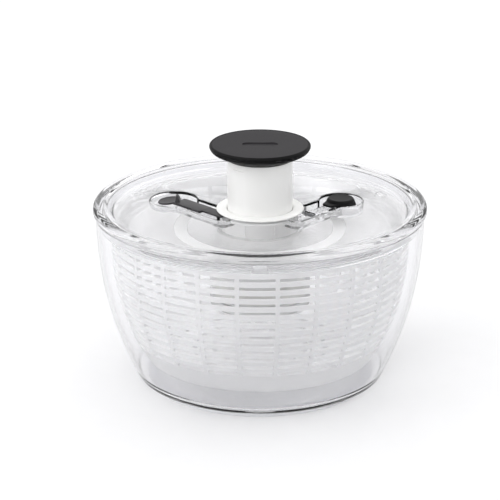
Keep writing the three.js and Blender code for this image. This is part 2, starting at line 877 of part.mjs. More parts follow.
// A cap over the lever's end, open beneath, with a short nose that covers the start of the lever's arm.
function brakeButton() {
  const low = leverLow + 0.8;
  const high = low + buttonHeight;
  const seat = leverHigh + gap;
  const cap = turned(
    [
      point(leverDisc + gap, low),
      point(buttonBase - 0.3, low),
      point(buttonBase, low + 1.2),
      point(buttonTop + 1, high - 1.4),
      point(buttonTop, high - 0.3),
      point(buttonTop - 1.4, high),
      point(0, high - 0.7),
      point(0, seat),
      point(leverDisc + gap, seat),
    ],
    medium,
  );
  const noseShape = new THREE.Shape([point(6, -9), point(17, -5), point(17, 4), point(6, 9)]);
  const nose = prism(noseShape, seat, seat + 1.8);
  const way = block(0, buttonBase + 1, -leverHalf - gap, leverHalf + gap, low - 1, seat);
  return cut(join(cap, nose), way).translate(brakeRecess.x, 0, 0);
}

const brakeStemPiece = () =>
  disc(brakeStemRadius, brakeWellFloor - recessWall - 0.4, leverLow + 1.2, fine).translate(brakeStem, 0, 0);

const brakePad = () => {
  const high = brakeWellFloor - recessWall - 0.7;
  return disc(5.2, high - 1.3, high, fine).translate(brakeStem, 0, 0);
};

const brakeSpring = () =>
  spring(brakeStemRadius + 1.8, 0.7, brakeWellFloor + gap, leverLow - gap, 4).translate(brakeStem, 0, 0);

// ---------- assembly ----------

piece("bowl", bowl(), clearPlastic);
piece("foot_ring", footRing(), footRubber);
piece("basket", basket(), milkyPlastic);

piece("lid", lid(), clearPlastic);
piece("collar", collar(), whitePlastic);
piece("housing", housing(), milkyPlastic);
piece("nut_cover", nutCover(), whitePlastic);
piece("thrust_washer", thrustWasher(), acetal);
piece("return_spring", returnSpring(), steel);

piece("plunger_sleeve", sleeve(), whitePlastic);
piece("stop_ring", stopRing(), acetal);
piece("twist_rod", twistRod(), acetal);
piece("rod_screw", rodScrew(), steel);
piece("knob_body", knobBody(), blackPlastic);
piece("knob_pad", knobPad(), softBlack);

piece("drive_nut", driveNut(), acetal);
piece("ratchet_wheel", ratchetWheel(), acetal);
piece("retaining_clip", retainingClip(), steel);

piece("turner_disc", turnerDisc(), clearPlastic);
piece("brake_track", brakeTrack(), milkyPlastic);
piece("pawl_plate", pawlPlate(), acetal);
for (let i = 0; i < pawlCount; i++) {
  piece(`pawl_${i + 1}`, pawl(), acetal).rotation.z = (i / pawlCount) * 2 * Math.PI;
}
piece("hub_cap", hubCap(), milkyPlastic);

const lockFrame = recessFrame(-1);
piece("lock_slide", lockSlide(), greyPlastic, lockFrame);

const brakeFrame = recessFrame(1);
piece("brake_pivot_pin", pin(pinRadius, channelWidth - 1.6), steel, brakeFrame);
piece("brake_lever", brakeLever(), clearPlastic, brakeFrame);
piece("brake_button", brakeButton(), softBlack, brakeFrame);
piece("brake_stem", brakeStemPiece(), milkyPlastic, brakeFrame);
piece("brake_pad", brakePad(), milkyPlastic, brakeFrame);
piece("brake_spring", brakeSpring(), steel, brakeFrame);

spinner.add(lockFrame, brakeFrame);

export default spinner;
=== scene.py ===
"""A pump-action salad spinner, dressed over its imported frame.

Sizes in the classes are millimetres, in the frame's own axes: +Z up along the knob's axis and -Y the front.
A finished mesh is in metres, with its place in the mesh.
"""

from __future__ import annotations

import logging
import math
from dataclasses import dataclass
from enum import Enum
from typing import Any, Sequence

import bmesh
import bpy
import numpy as np
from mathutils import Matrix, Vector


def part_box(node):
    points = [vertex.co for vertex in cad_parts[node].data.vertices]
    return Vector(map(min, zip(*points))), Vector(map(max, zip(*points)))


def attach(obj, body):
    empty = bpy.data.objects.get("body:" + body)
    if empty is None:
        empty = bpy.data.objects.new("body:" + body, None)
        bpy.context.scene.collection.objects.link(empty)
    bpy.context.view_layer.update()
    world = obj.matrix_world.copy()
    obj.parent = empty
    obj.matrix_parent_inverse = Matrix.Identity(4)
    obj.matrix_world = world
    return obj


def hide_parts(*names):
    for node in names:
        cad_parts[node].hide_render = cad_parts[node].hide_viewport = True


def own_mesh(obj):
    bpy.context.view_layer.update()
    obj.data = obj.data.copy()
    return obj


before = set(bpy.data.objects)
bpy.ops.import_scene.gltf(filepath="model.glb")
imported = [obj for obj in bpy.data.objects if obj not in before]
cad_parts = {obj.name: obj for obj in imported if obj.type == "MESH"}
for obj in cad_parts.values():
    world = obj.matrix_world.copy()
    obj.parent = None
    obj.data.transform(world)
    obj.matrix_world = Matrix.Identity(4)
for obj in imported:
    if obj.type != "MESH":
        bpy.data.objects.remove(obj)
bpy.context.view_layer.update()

MM = 0.001
TRAY_DEPTH = 7.3  # of the lid's plate below its rim
BOWL_FLOOR = 3.7  # how thick the bowl's floor is
PIVOT_HEIGHT = 24.0  # of the bowl's pivot above that floor
LOG = logging.getLogger("spinner")


class Side(Enum):
    """Which of the lid's two finger recesses a piece belongs to."""

    LOCK = -1
    BRAKE = 1


# ---------------------------------------------------------------- places


def box_mm(node: str) -> tuple[np.ndarray, np.ndarray]:
    """Gives a CAD node's box at rest.

    Args:
        node: the node's name.

    Returns:
        The lowest and highest corners, in millimetres.
    """
    low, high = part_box(node)
    return np.array(low) / MM, np.array(high) / MM


def tray_top() -> float:
    """Gives the height of the lid's sunken plate."""
    return box_mm("lid")[1][2] - TRAY_DEPTH


@dataclass(frozen=True)
class Recess:
    """One of the two keyhole recesses in the lid's tray: a round finger well and a channel to the collar.

    Its own axes start near the middle of the well, with +X along the channel.
    """

    side: Side
    well_x: float
    well_y: float
    well_radius: float
    depth: float
    well_depth: float
    angle: float = 46.0
    offset: float = 31.1
    reach: float = 65.6
    past: float = 1.5

    def to_part(self, points: np.ndarray) -> np.ndarray:
        """Turns and shifts points from the recess's axes into the part's.

        Args:
            points: an array whose last axis is x, y, z.

        Returns:
            The moved points: turned about Z by the channel's direction, then shifted to the well's middle.
        """
        sign = self.side.value
        lean = math.radians(self.angle)
        middle = (
            sign * (self.reach * math.cos(lean) + self.offset * math.sin(lean)),
            self.reach * math.sin(lean) - self.offset * math.cos(lean),
        )
        turn = -lean if self.side is Side.LOCK else lean - math.pi
        x, y, z = points[..., 0], points[..., 1], points[..., 2]
        moved_x = x * math.cos(turn) - y * math.sin(turn) + middle[0]
        moved_y = x * math.sin(turn) + y * math.cos(turn) + middle[1]
        return np.stack([moved_x, moved_y, z], axis=-1)


# ---------------------------------------------------------------- surfaces


@dataclass
class Surface:
    """A closed surface: its points in millimetres, its four-sided faces and its flat end faces."""

    points: np.ndarray
    quads: np.ndarray
    ends: list[list[int]]

    def moved(self, recess: Recess) -> "Surface":
        """Gives the surface moved from a recess's axes to the part's."""
        return Surface(recess.to_part(self.points), self.quads, self.ends)

    def posed(
        self, tilt: float = 0.0, turn: float = 0.0, shift: Sequence[float] = (0.0, 0.0, 0.0)
    ) -> "Surface":
        """Gives the surface tilted about Y, then turned about Z, then shifted.

        Args:
            tilt: degrees about the Y axis.
            turn: degrees about the Z axis.
            shift: x, y and z.

        Returns:
            The moved surface.
        """
        ct, st = math.cos(math.radians(tilt)), math.sin(math.radians(tilt))
        cz, sz = math.cos(math.radians(turn)), math.sin(math.radians(turn))
        lean = np.array([[ct, 0.0, -st], [0.0, 1.0, 0.0], [st, 0.0, ct]])
        spin = np.array([[cz, sz, 0.0], [-sz, cz, 0.0], [0.0, 0.0, 1.0]])
        return Surface(self.points @ lean @ spin + np.array(shift, dtype=float), self.quads, self.ends)

    def fluted(self, radius: float, count: int, depth: float, start: float = 0.0) -> "Surface":
        """Raises upright ribs where the surface lies outside a radius.

        A point at angle a moves out by depth times max(0, cos(count (a - start)))^8.

        Args:
            radius: only points outside it move.
            count: how many ribs.
            depth: how far they stand out.
            start: the first rib's angle in degrees.

        Returns:
            The ribbed surface.
        """
        x, y = self.points[:, 0], self.points[:, 1]
        out = np.hypot(x, y)
        wave = np.cos(count * (np.arctan2(y, x) - math.radians(start))).clip(0) ** 8
        grow = np.where(out > radius, 1 + depth * wave / np.maximum(out, 1e-6), 1.0)
        points = np.stack([x * grow, y * grow, self.points[:, 2]], axis=1)
        return Surface(points, self.quads, self.ends)


def arc(centre: Sequence[float], radius: float, start: float, end: float, count: int = 12) -> np.ndarray:
    """Gives points on a circle's arc, centre + radius (cos a, sin a), with a in degrees from start to end.

    Args:
        centre: the circle's middle.
        radius: its radius.
        start: first angle in degrees.
        end: last angle in degrees.
        count: how many points.

    Returns:
        An array of count (x, y) points.
    """
    turn = np.radians(np.linspace(start, end, count))
    return np.stack([centre[0] + radius * np.cos(turn), centre[1] + radius * np.sin(turn)], axis=1)


def rounded(corners: Sequence[Sequence[float]], closed: bool = True, steps: int = 5) -> np.ndarray:
    """Rounds the corners of a flat outline.

    Each corner P with rounding d becomes the curve (1-t)^2 A + 2t(1-t) P + t^2 B, where A and B lie d away
    from P on its two edges, and d is at most 0.45 of the shorter edge.

    Args:
        corners: (x, y, rounding) for each corner.
        closed: whether the last corner joins the first; otherwise the two ends are kept sharp.
        steps: how many pieces each curve has.

    Returns:
        An array of (x, y) points.
    """
    table = np.array(corners, dtype=float)
    points, size = table[:, :2], table[:, 2].copy()
    before, after = np.roll(points, 1, axis=0) - points, np.roll(points, -1, axis=0) - points
    length_before = np.linalg.norm(before, axis=1)
    length_after = np.linalg.norm(after, axis=1)
    if not closed:
        size[[0, -1]] = 0.0
    size = np.minimum(size, 0.45 * np.minimum(length_before, length_after))
    first = points + before / length_before[:, None] * size[:, None]
    last = points + after / length_after[:, None] * size[:, None]
    t = np.linspace(0.0, 1.0, steps + 1)[None, :, None]
    curve = (1 - t) ** 2 * first[:, None] + 2 * t * (1 - t) * points[:, None] + t**2 * last[:, None]
    flat = curve.reshape(-1, 2)
    step = np.linalg.norm(flat - np.roll(flat, 1, axis=0), axis=1)
    keep = step > 1e-4
    keep[0] = True
    return flat[keep]


def skinned(sections: np.ndarray, loop: bool = False) -> Surface:
    """Skins a stack of closed sections.

    Args:
        sections: an array (sections, points, 3), each section running anticlockwise seen from the last one.
        loop: whether the last section joins the first; otherwise both ends are closed flat, or at a pole.

    Returns:
        The closed surface, whose faces run from section to section.
    """
    count, around = sections.shape[:2]
    index = np.arange(count * around).reshape(count, around)
    beside = np.roll(index, -1, axis=1)
    low, low_beside = (index, beside) if loop else (index[:-1], beside[:-1])
    high, high_beside = np.roll(index, -1, axis=0), np.roll(beside, -1, axis=0)
    if not loop:
        high, high_beside = high[:-1], high_beside[:-1]
    quads = np.stack([low, low_beside, high_beside, high], axis=-1).reshape(-1, 4)
    ends: list[list[int]] = []
    if not loop:
        if np.ptp(sections[0], axis=0).max() > 1e-6:
            ends.append(index[0][::-1].tolist())
        if np.ptp(sections[-1], axis=0).max() > 1e-6:
            ends.append(index[-1].tolist())
    return Surface(sections.reshape(-1, 3), quads, ends)


def revolved(profile: np.ndarray, around: int = 160) -> Surface:
    """Turns a profile of (radius, height) points about the Z axis: x = r cos a, y = r sin a, z = h.

    Args:
        profile: the points, anticlockwise; it closes on itself, or starts and ends on the axis.
        around: how many steps the circle has.

    Returns:
        The closed surface.
    """
    on_axis = profile[0, 0] < 1e-6 and profile[-1, 0] < 1e-6
    ahead = np.roll(profile, -1, axis=0)
    area = np.sum(profile[:, 0] * ahead[:, 1] - ahead[:, 0] * profile[:, 1])
    if area < 0:
        profile = profile[::-1]
    turn = np.arange(around) * 2 * np.pi / around
    x = profile[:, :1] * np.cos(turn)[None]
    y = profile[:, :1] * np.sin(turn)[None]
    z = np.broadcast_to(profile[:, 1:], x.shape)
    return skinned(np.stack([x, y, z], axis=-1), loop=not on_axis)


def lofted(outlines: Sequence[np.ndarray], levels: Sequence[float]) -> Surface:
    """Stacks flat outlines with the same number of points at their heights and skins them.

    Args:
        outlines: (x, y) outlines, anticlockwise seen from above.
        levels: each outline's height, rising.

    Returns:
        The closed surface.
    """
    flat = np.stack(outlines)
    z = np.broadcast_to(np.array(levels, dtype=float)[:, None, None], (*flat.shape[:2], 1))
    return skinned(np.concatenate([flat, z], axis=-1))


def eased_block(outline: np.ndarray, low: float, high: float, ease: float = 0.5, steps: int = 3) -> Surface:
    """Raises an outline between two heights, with its top and bottom edges rounded over.

    Near each end the outline shrinks towards its middle by ease (1 - sin a) while the height moves by
    ease (1 - cos a), for a from 0 to 90 degrees.

    Args:
        outline: the (x, y) outline at its full size, anticlockwise.
        low: the lowest height.
        high: the highest height.
        ease: the rounding's size.
        steps: how many pieces each rounding has.

    Returns:
        The closed surface.
    """
    turn = np.linspace(0.0, np.pi / 2, steps + 1)
    inset = ease * (1 - np.sin(turn))
    rise = ease * (1 - np.cos(turn))
    ahead = np.roll(outline, -1, axis=0) - np.roll(outline, 1, axis=0)
    inward = np.stack([-ahead[:, 1], ahead[:, 0]], axis=1) / np.linalg.norm(ahead, axis=1)[:, None]
    shrunk = [outline + inward * amount for amount in inset]
    levels = [low + value for value in rise] + [high - value for value in rise[::-1]]
    return lofted(shrunk + shrunk[::-1], levels)


def tube(path: np.ndarray, radius: float, sides: int = 10) -> Surface:
    """Carries a circle along a path: path + radius (cos a N + sin a B), with N level and B square to both.

    Args:
        path: the points of the centre line.
        radius: the circle's radius.
        sides: how many points the circle has.

    Returns:
        The surface, closed flat at both ends.
    """
    along = np.gradient(path, axis=0)
    along /= np.linalg.norm(along, axis=1)[:, None]
    across = np.cross(along, np.array([0.0, 0.0, 1.0]))
    across /= np.linalg.norm(across, axis=1)[:, None]
    up = np.cross(across, along)
    turn = np.arange(sides)[::-1] * 2 * np.pi / sides
    ring = across[:, None] * np.cos(turn)[None, :, None] + up[:, None] * np.sin(turn)[None, :, None]
    return skinned(path[:, None] + radius * ring)


def coil(radius: float, wire: float, low: float, high: float, turns: float) -> Surface:
    """Winds a compression spring with its two end turns closed up.

    The angle grows evenly, and the height follows s - sin(2 pi s) e / 2 pi, which flattens both ends.

    Args:
        radius: to the middle of the wire.
        wire: the wire's thickness.
        low: the spring's lowest point.
        high: its highest point.
        turns: how many turns it has.

    Returns:
        The closed surface.
    """
    share = np.linspace(0.0, 1.0, int(turns * 28) + 1)
    flattened = share - 0.85 * np.sin(2 * np.pi * share) / (2 * np.pi)
    height = low + wire / 2 + (high - low - wire) * flattened
    turn = 2 * np.pi * turns * share
    return tube(np.stack([radius * np.cos(turn), radius * np.sin(turn), height], axis=1), wire / 2)


def plain_outline(radius: float, around: int = 64) -> np.ndarray:
    """Gives a circle's outline about the origin."""
    return arc((0.0, 0.0), radius, 0.0, 360.0 * (1 - 1 / around), around)


def slab(x0: float, x1: float, y0: float, y1: float, low: float, high: float, ease: float = 0.3) -> Surface:
    """Gives a block with its upright corners and its edges rounded.

    Args:
        x0: lowest x.
        x1: highest x.
        y0: lowest y.
        y1: highest y.
        low: lowest height.
        high: highest height.
        ease: the rounding.

    Returns:
        The closed surface.
    """
    corners = [(x0, y0, ease * 1.5), (x1, y0, ease * 1.5), (x1, y1, ease * 1.5), (x0, y1, ease * 1.5)]
    return eased_block(rounded(corners, steps=4), low, high, ease)


# ---------------------------------------------------------------- finishes


def linear(code: str) -> tuple[float, float, float, float]:
    """Turns an sRGB hex colour to linear light.

    Args:
        code: such as "#F4F4F1".

    Returns:
        Red, green, blue and an alpha of 1.
    """
    parts = [int(code[i : i + 2], 16) / 255 for i in (1, 3, 5)]
    light = [c / 12.92 if c <= 0.04045 else ((c + 0.055) / 1.055) ** 2.4 for c in parts]
    return light[0], light[1], light[2], 1.0


def add_node(
    tree: bpy.types.NodeTree,
    kind: str,
    inputs: dict[Any, Any] | None = None,
    links: dict[Any, bpy.types.NodeSocket] | None = None,
    **settings: Any,
) -> bpy.types.Node:
    """Adds one node.

    Args:
        tree: the tree it goes in.
        kind: the node's type.
        inputs: socket name or number to value.
        links: socket name or number to the output that feeds it.
        settings: the node's own properties.

    Returns:
        The node.
    """
    node = tree.nodes.new(kind)
    for key, value in settings.items():
        setattr(node, key, value)
    for key, value in (inputs or {}).items():
        node.inputs[key].default_value = value
    for key, source in (links or {}).items():
        tree.links.new(source, node.inputs[key])
    return node


def fresh(name: str) -> tuple[bpy.types.Material, bpy.types.NodeTree, bpy.types.NodeSocket]:
    """Starts a material.

    Args:
        name: its name.

    Returns:
        The material, its empty tree, and the Object coordinates that its patterns read.
    """
    material = bpy.data.materials.new(name)
    material.use_nodes = True
    material.node_tree.nodes.clear()
    place = add_node(material.node_tree, "ShaderNodeTexCoord").outputs["Object"]
    return material, material.node_tree, place


@dataclass(frozen=True)
class SeeThroughPlastic:
    """Clear styrene plastic, injection moulded against polished steel.

    The eye sees bright clear walls with a faint waviness where the melt flowed, and thick edges that look grey
    through painted edge shade, a grey mixed into the colour where a wall turns away from the view. Lamps pass
    through it on their way to what is inside.
    """

    name: str
    tint: str = "#FAFAFB"
    warm: str = "#F5F5F6"
    ior: float = 1.3
    roughness: float = 0.02
    flow_mm: float = 28.0
    passes: str = "#FDFDFD"
    edge: str = "#8F8E97"  # painted edge shade, mixed in where the wall turns away from the view; it stands in for light that runs a long way through the wall and comes out greyer
    # how much painted edge shade a wall takes where it turns fully away from the view
    painted_edge_shade: float = 0.7

    def material(self) -> bpy.types.Material:
        """Builds the material."""
        material, tree, place = fresh(self.name)
        flow = add_node(
            tree,
            "ShaderNodeTexNoise",
            {"Scale": 1 / (self.flow_mm * MM), "Detail": 2.0, "Roughness": 0.4},
            {"Vector": place},
        )
        colour = add_node(
            tree,
            "ShaderNodeMix",
            {6: linear(self.warm), 7: linear(self.tint)},
            {0: flow.outputs["Fac"]},
            data_type="RGBA",
        )
        gloss = add_node(
            tree,
            "ShaderNodeMapRange",
            {"To Min": self.roughness, "To Max": self.roughness * 2.2},
            {"Value": flow.outputs["Fac"]},
        )
        wave = add_node(
            tree,
            "ShaderNodeBump",
            {"Strength": 0.12, "Distance": 0.0004},
            {"Height": flow.outputs["Fac"]},
        )
        # painted edge shade: Facing mixes the edge grey into the base colour where the wall turns away from the
        # view
        edge = add_node(tree, "ShaderNodeLayerWeight", {"Blend": 0.3})
        depth = add_node(
            tree,
            "ShaderNodeMapRange",
            {"From Min": 0.55, "From Max": 1.0, "To Min": 0.0, "To Max": self.painted_edge_shade},
            {"Value": edge.outputs["Facing"]},
        )
        through = add_node(
            tree,
            "ShaderNodeMix",
            {7: linear(self.edge)},
            {0: depth.outputs[0], 6: colour.outputs[2]},
            data_type="RGBA",
        )
        body = add_node(
            tree,
            "ShaderNodeBsdfPrincipled",
            {"Transmission Weight": 1.0, "IOR": self.ior},
            {"Base Color": through.outputs[2], "Roughness": gloss.outputs[0], "Normal": wave.outputs[0]},
        )
        lamp = add_node(tree, "ShaderNodeLightPath")
        pass_on = add_node(tree, "ShaderNodeBsdfTransparent", {"Color": linear(self.passes)})
        both = add_node(
            tree,
            "ShaderNodeMixShader",
            links={0: lamp.outputs["Is Shadow Ray"], 1: body.outputs[0], 2: pass_on.outputs[0]},
        )
        add_node(tree, "ShaderNodeOutputMaterial", links={"Surface": both.outputs[0]})
        return material


@dataclass(frozen=True)
class MilkyPlastic:
    """Unpigmented polypropylene, injection moulded with a fine spark-eroded texture.

    Its crystals scatter light, so a thin wall glows white and only hints at what is behind it, and the
    grain breaks its highlights.
    """

    name: str
    pale: str = "#FBFBFB"
    deep: str = "#F4F4F5"
    through: float = 0.35
    roughness: float = 0.34
    grain_mm: float = 0.7  # real spark texture is near 0.05 mm; drawn coarser so that it shows
    cloud_mm: float = 22.0
    passes: float = 0.55

    def material(self) -> bpy.types.Material:
        """Builds the material."""
        material, tree, place = fresh(self.name)
        cloud = add_node(
            tree, "ShaderNodeTexNoise", {"Scale": 1 / (self.cloud_mm * MM), "Detail": 3.0}, {"Vector": place}
        )
        grain = add_node(
            tree, "ShaderNodeTexNoise", {"Scale": 1 / (self.grain_mm * MM), "Detail": 1.0}, {"Vector": place}
        )
        colour = add_node(
            tree,
            "ShaderNodeMix",
            {6: linear(self.deep), 7: linear(self.pale)},
            {0: cloud.outputs["Fac"]},
            data_type="RGBA",
        )
        gloss = add_node(
            tree,
            "ShaderNodeMapRange",
            {"To Min": self.roughness - 0.06, "To Max": self.roughness + 0.08},
            {"Value": grain.outputs["Fac"]},
        )
        bump = add_node(
            tree, "ShaderNodeBump", {"Strength": 0.15, "Distance": 0.0001}, {"Height": grain.outputs["Fac"]}
        )
        body = add_node(
            tree,
            "ShaderNodeBsdfPrincipled",
            {"Transmission Weight": self.through, "IOR": 1.4},
            {"Base Color": colour.outputs[2], "Roughness": gloss.outputs[0], "Normal": bump.outputs[0]},
        )
        lamp = add_node(tree, "ShaderNodeLightPath")
        share = add_node(
            tree, "ShaderNodeMath", {1: self.passes}, {0: lamp.outputs["Is Shadow Ray"]}, operation="MULTIPLY"
        )
        pass_on = add_node(tree, "ShaderNodeBsdfTransparent", {"Color": linear("#FFFFFF")})
        both = add_node(
            tree,
            "ShaderNodeMixShader",
            links={0: share.outputs[0], 1: body.outputs[0], 2: pass_on.outputs[0]},
        )
        add_node(tree, "ShaderNodeOutputMaterial", links={"Surface": both.outputs[0]})
        return material


@dataclass(frozen=True)
class SolidPlastic:
    """An opaque moulded plastic or elastomer with a fine texture.

    A slow cloud shifts its colour a little, and a fine grain breaks its highlights and pits it.
    """

    name: str
    pale: str
    deep: str
    roughness: float
    grain_mm: float = 0.6
    cloud_mm: float = 15.0
    relief_mm: float = 0.04
    specular: float = 0.5

    def material(self) -> bpy.types.Material:
        """Builds the material."""
        material, tree, place = fresh(self.name)
        cloud = add_node(
            tree, "ShaderNodeTexNoise", {"Scale": 1 / (self.cloud_mm * MM), "Detail": 4.0}, {"Vector": place}
        )
        grain = add_node(
            tree, "ShaderNodeTexNoise", {"Scale": 1 / (self.grain_mm * MM), "Detail": 2.0}, {"Vector": place}
        )
        colour = add_node(
            tree,
            "ShaderNodeMix",
            {6: linear(self.deep), 7: linear(self.pale)},
            {0: cloud.outputs["Fac"]},
            data_type="RGBA",
        )
        gloss = add_node(
            tree,
            "ShaderNodeMapRange",
            {"To Min": self.roughness - 0.07, "To Max": self.roughness + 0.07},
            {"Value": grain.outputs["Fac"]},
        )
        bump = add_node(
            tree,
            "ShaderNodeBump",
            {"Strength": 0.35, "Distance": self.relief_mm * MM},
            {"Height": grain.outputs["Fac"]},
        )
        body = add_node(
            tree,
            "ShaderNodeBsdfPrincipled",
            {
                "IOR": 1.5,
                "Specular IOR Level": self.specular,
            },
            {"Base Color": colour.outputs[2], "Roughness": gloss.outputs[0], "Normal": bump.outputs[0]},
        )
        add_node(tree, "ShaderNodeOutputMaterial", links={"Surface": body.outputs[0]})
        return material


@dataclass(frozen=True)
class DrawnSteel:
    """Stainless wire and pins, drawn or turned, with fine lines left by the die or the tool."""

    name: str
    pale: str = "#D5D6D8"
    deep: str = "#B4B6BA"
    line_mm: float = 0.25
    roughness: float = 0.25

    def material(self) -> bpy.types.Material:
        """Builds the material."""
        material, tree, place = fresh(self.name)
        lines = add_node(
            tree,
            "ShaderNodeTexNoise",
            {"Scale": 1 / (self.line_mm * MM), "Detail": 2.0},
            {"Vector": add_node(tree, "ShaderNodeMapping", {"Scale": (0.2, 0.2, 1.0)}, {0: place}).outputs[0]},
        )
        colour = add_node(
            tree,
            "ShaderNodeMix",
            {6: linear(self.deep), 7: linear(self.pale)},
            {0: lines.outputs["Fac"]},
            data_type="RGBA",
        )
        gloss = add_node(
            tree,
            "ShaderNodeMapRange",
            {"To Min": self.roughness - 0.06, "To Max": self.roughness + 0.1},
            {"Value": lines.outputs["Fac"]},
        )
        body = add_node(
            tree,
            "ShaderNodeBsdfPrincipled",
            {"Metallic": 1.0},
            {"Base Color": colour.outputs[2], "Roughness": gloss.outputs[0]},
        )
        add_node(tree, "ShaderNodeOutputMaterial", links={"Surface": body.outputs[0]})
        return material


# the bowl takes more painted edge shade than the lid
CLEAR_BOWL = SeeThroughPlastic("clear_styrene_bowl", tint="#FAFAFB", warm="#F6F6F7", ior=1.3, painted_edge_shade=0.9)
CLEAR_LID = SeeThroughPlastic("clear_styrene_lid", tint="#FAFAFB", warm="#F5F5F6", ior=1.24)
CLEAR_DISC = MilkyPlastic(
    "hazy_styrene_disc", pale="#FCFCFC", deep="#F5F5F6", through=0.86, roughness=0.2, passes=0.85
)
FOOT_GEL = MilkyPlastic("pale_grey_elastomer_foot", pale="#F6F6F8", deep="#EEEEF1", through=0.5, passes=0.9)
BASKET_MILK = MilkyPlastic(
    "milky_polypropylene_basket", pale="#FDFDFD", deep="#F9F9FA", through=0.55, passes=0.92
)
FROSTED = MilkyPlastic("frosted_polypropylene", pale="#FDFDFD", deep="#F8F8F8", through=0.45, passes=0.9)
WHITE_ABS = SolidPlastic("white_abs_satin", "#FCFCFB", "#F9F9F7", 0.3, relief_mm=0.015)
ACETAL = SolidPlastic("acetal_as_moulded", "#ECEAE4", "#E1DFD8", 0.38, relief_mm=0.02)
BLACK_ABS = SolidPlastic("black_abs_satin", "#0C0B0D", "#080809", 0.55, specular=0.15)
SOFT_BLACK = SolidPlastic("soft_touch_black_elastomer", "#2A282B", "#242225", 0.66, grain_mm=0.5, specular=0.25)
BUTTON_BLACK = SolidPlastic("button_black_elastomer", "#0E0D0F", "#0A090B", 0.55, grain_mm=0.5, specular=0.18)
GREY_ABS = SolidPlastic("dark_grey_abs", "#2F2D30", "#272528", 0.4, specular=0.35)
STEEL = DrawnSteel("drawn_stainless")


# ---------------------------------------------------------------- pieces


def raw_object(name: str, surface: Surface) -> bpy.types.Object:
    """Makes an object from a surface, in metres, with coincident points merged.

    Args:
        name: the object's name.
        surface: the surface in millimetres.

    Returns:
        The object, linked to the scene.
    """
    mesh = bpy.data.meshes.new(name)
    mesh.from_pydata((surface.points * MM).tolist(), [], surface.quads.tolist() + surface.ends)
    made = bmesh.new()
    made.from_mesh(mesh)
    bmesh.ops.remove_doubles(made, verts=made.verts, dist=1e-6)
    bmesh.ops.dissolve_degenerate(made, edges=made.edges, dist=1e-7)
    bmesh.ops.recalc_face_normals(made, faces=made.faces)
    made.to_mesh(mesh)
    made.free()
    thing = bpy.data.objects.new(name, mesh)
    bpy.context.scene.collection.objects.link(thing)
    return thing


def settle(thing: bpy.types.Object) -> None:
    """Makes an object's modifiers part of its mesh."""
    graph = bpy.context.evaluated_depsgraph_get()
    solid = bpy.data.meshes.new_from_object(thing.evaluated_get(graph))
    thing.modifiers.clear()
    thing.data = solid


def combine(thing: bpy.types.Object, tool: bpy.types.Object, kind: str) -> None:
    """Joins or cuts one object with another, which is used up.

    Args:
        thing: the object that changes.
        tool: the other object.
        kind: UNION, DIFFERENCE or INTERSECT.
    """
    step = thing.modifiers.new("work", "BOOLEAN")
    step.operation = kind
    step.solver = "EXACT"
    step.object = tool
    settle(thing)
    bpy.data.objects.remove(tool)


def shaped(
    name: str,
    base: Surface,
    joins: Sequence[Surface] = (),
    cuts: Sequence[Surface] = (),
) -> bpy.types.Object:
    """Joins surfaces to a base and cuts others away.

    Args:
        name: the piece's name.
        base: the surface it starts from.
        joins: surfaces joined to it, in order.
        cuts: surfaces then cut from it.

    Returns:
        The finished object.
    """
    thing = raw_object(name, base)
    for kind, tools in (("UNION", joins), ("DIFFERENCE", cuts)):
        for number, tool in enumerate(tools):
            combine(thing, raw_object(f"{name}_{kind.lower()}_{number}", tool), kind)
    return thing


@dataclass
class Dresser:
    """Puts finished pieces on their bodies with their materials, and reports each."""

    made: dict[str, bpy.types.Material]

    def material(self, finish: Any) -> bpy.types.Material:
        """Builds a finish's material once.

        Args:
            finish: one of the finishes above.

        Returns:
            The material.
        """
        if finish.name not in self.made:
            self.made[finish.name] = finish.material()
        return self.made[finish.name]

    def dress(
        self,
        thing: bpy.types.Object,
        finish: Any,
        body: str,
        nodes: Sequence[str],
        slot: str,
        crease: float = 32.0,
    ) -> bpy.types.Object:
        """Finishes a piece.

        Args:
            thing: the piece.
            finish: its finish.
            body: the CAD body it rides on.
            nodes: the CAD nodes it stands for.
            slot: not used.
            crease: edges sharper than this many degrees stay sharp.

        Returns:
            The piece.
        """
        mesh = thing.data
        mesh.materials.clear()
        mesh.materials.append(self.material(finish))
        mesh.polygons.foreach_set("use_smooth", np.ones(len(mesh.polygons), dtype=bool))
        mesh.set_sharp_from_angle(angle=math.radians(crease))
        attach(thing, body)
        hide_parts(*nodes)
        LOG.info("%s: %d faces on %s, for %s", thing.name, len(mesh.polygons), body, ", ".join(nodes))
        return thing


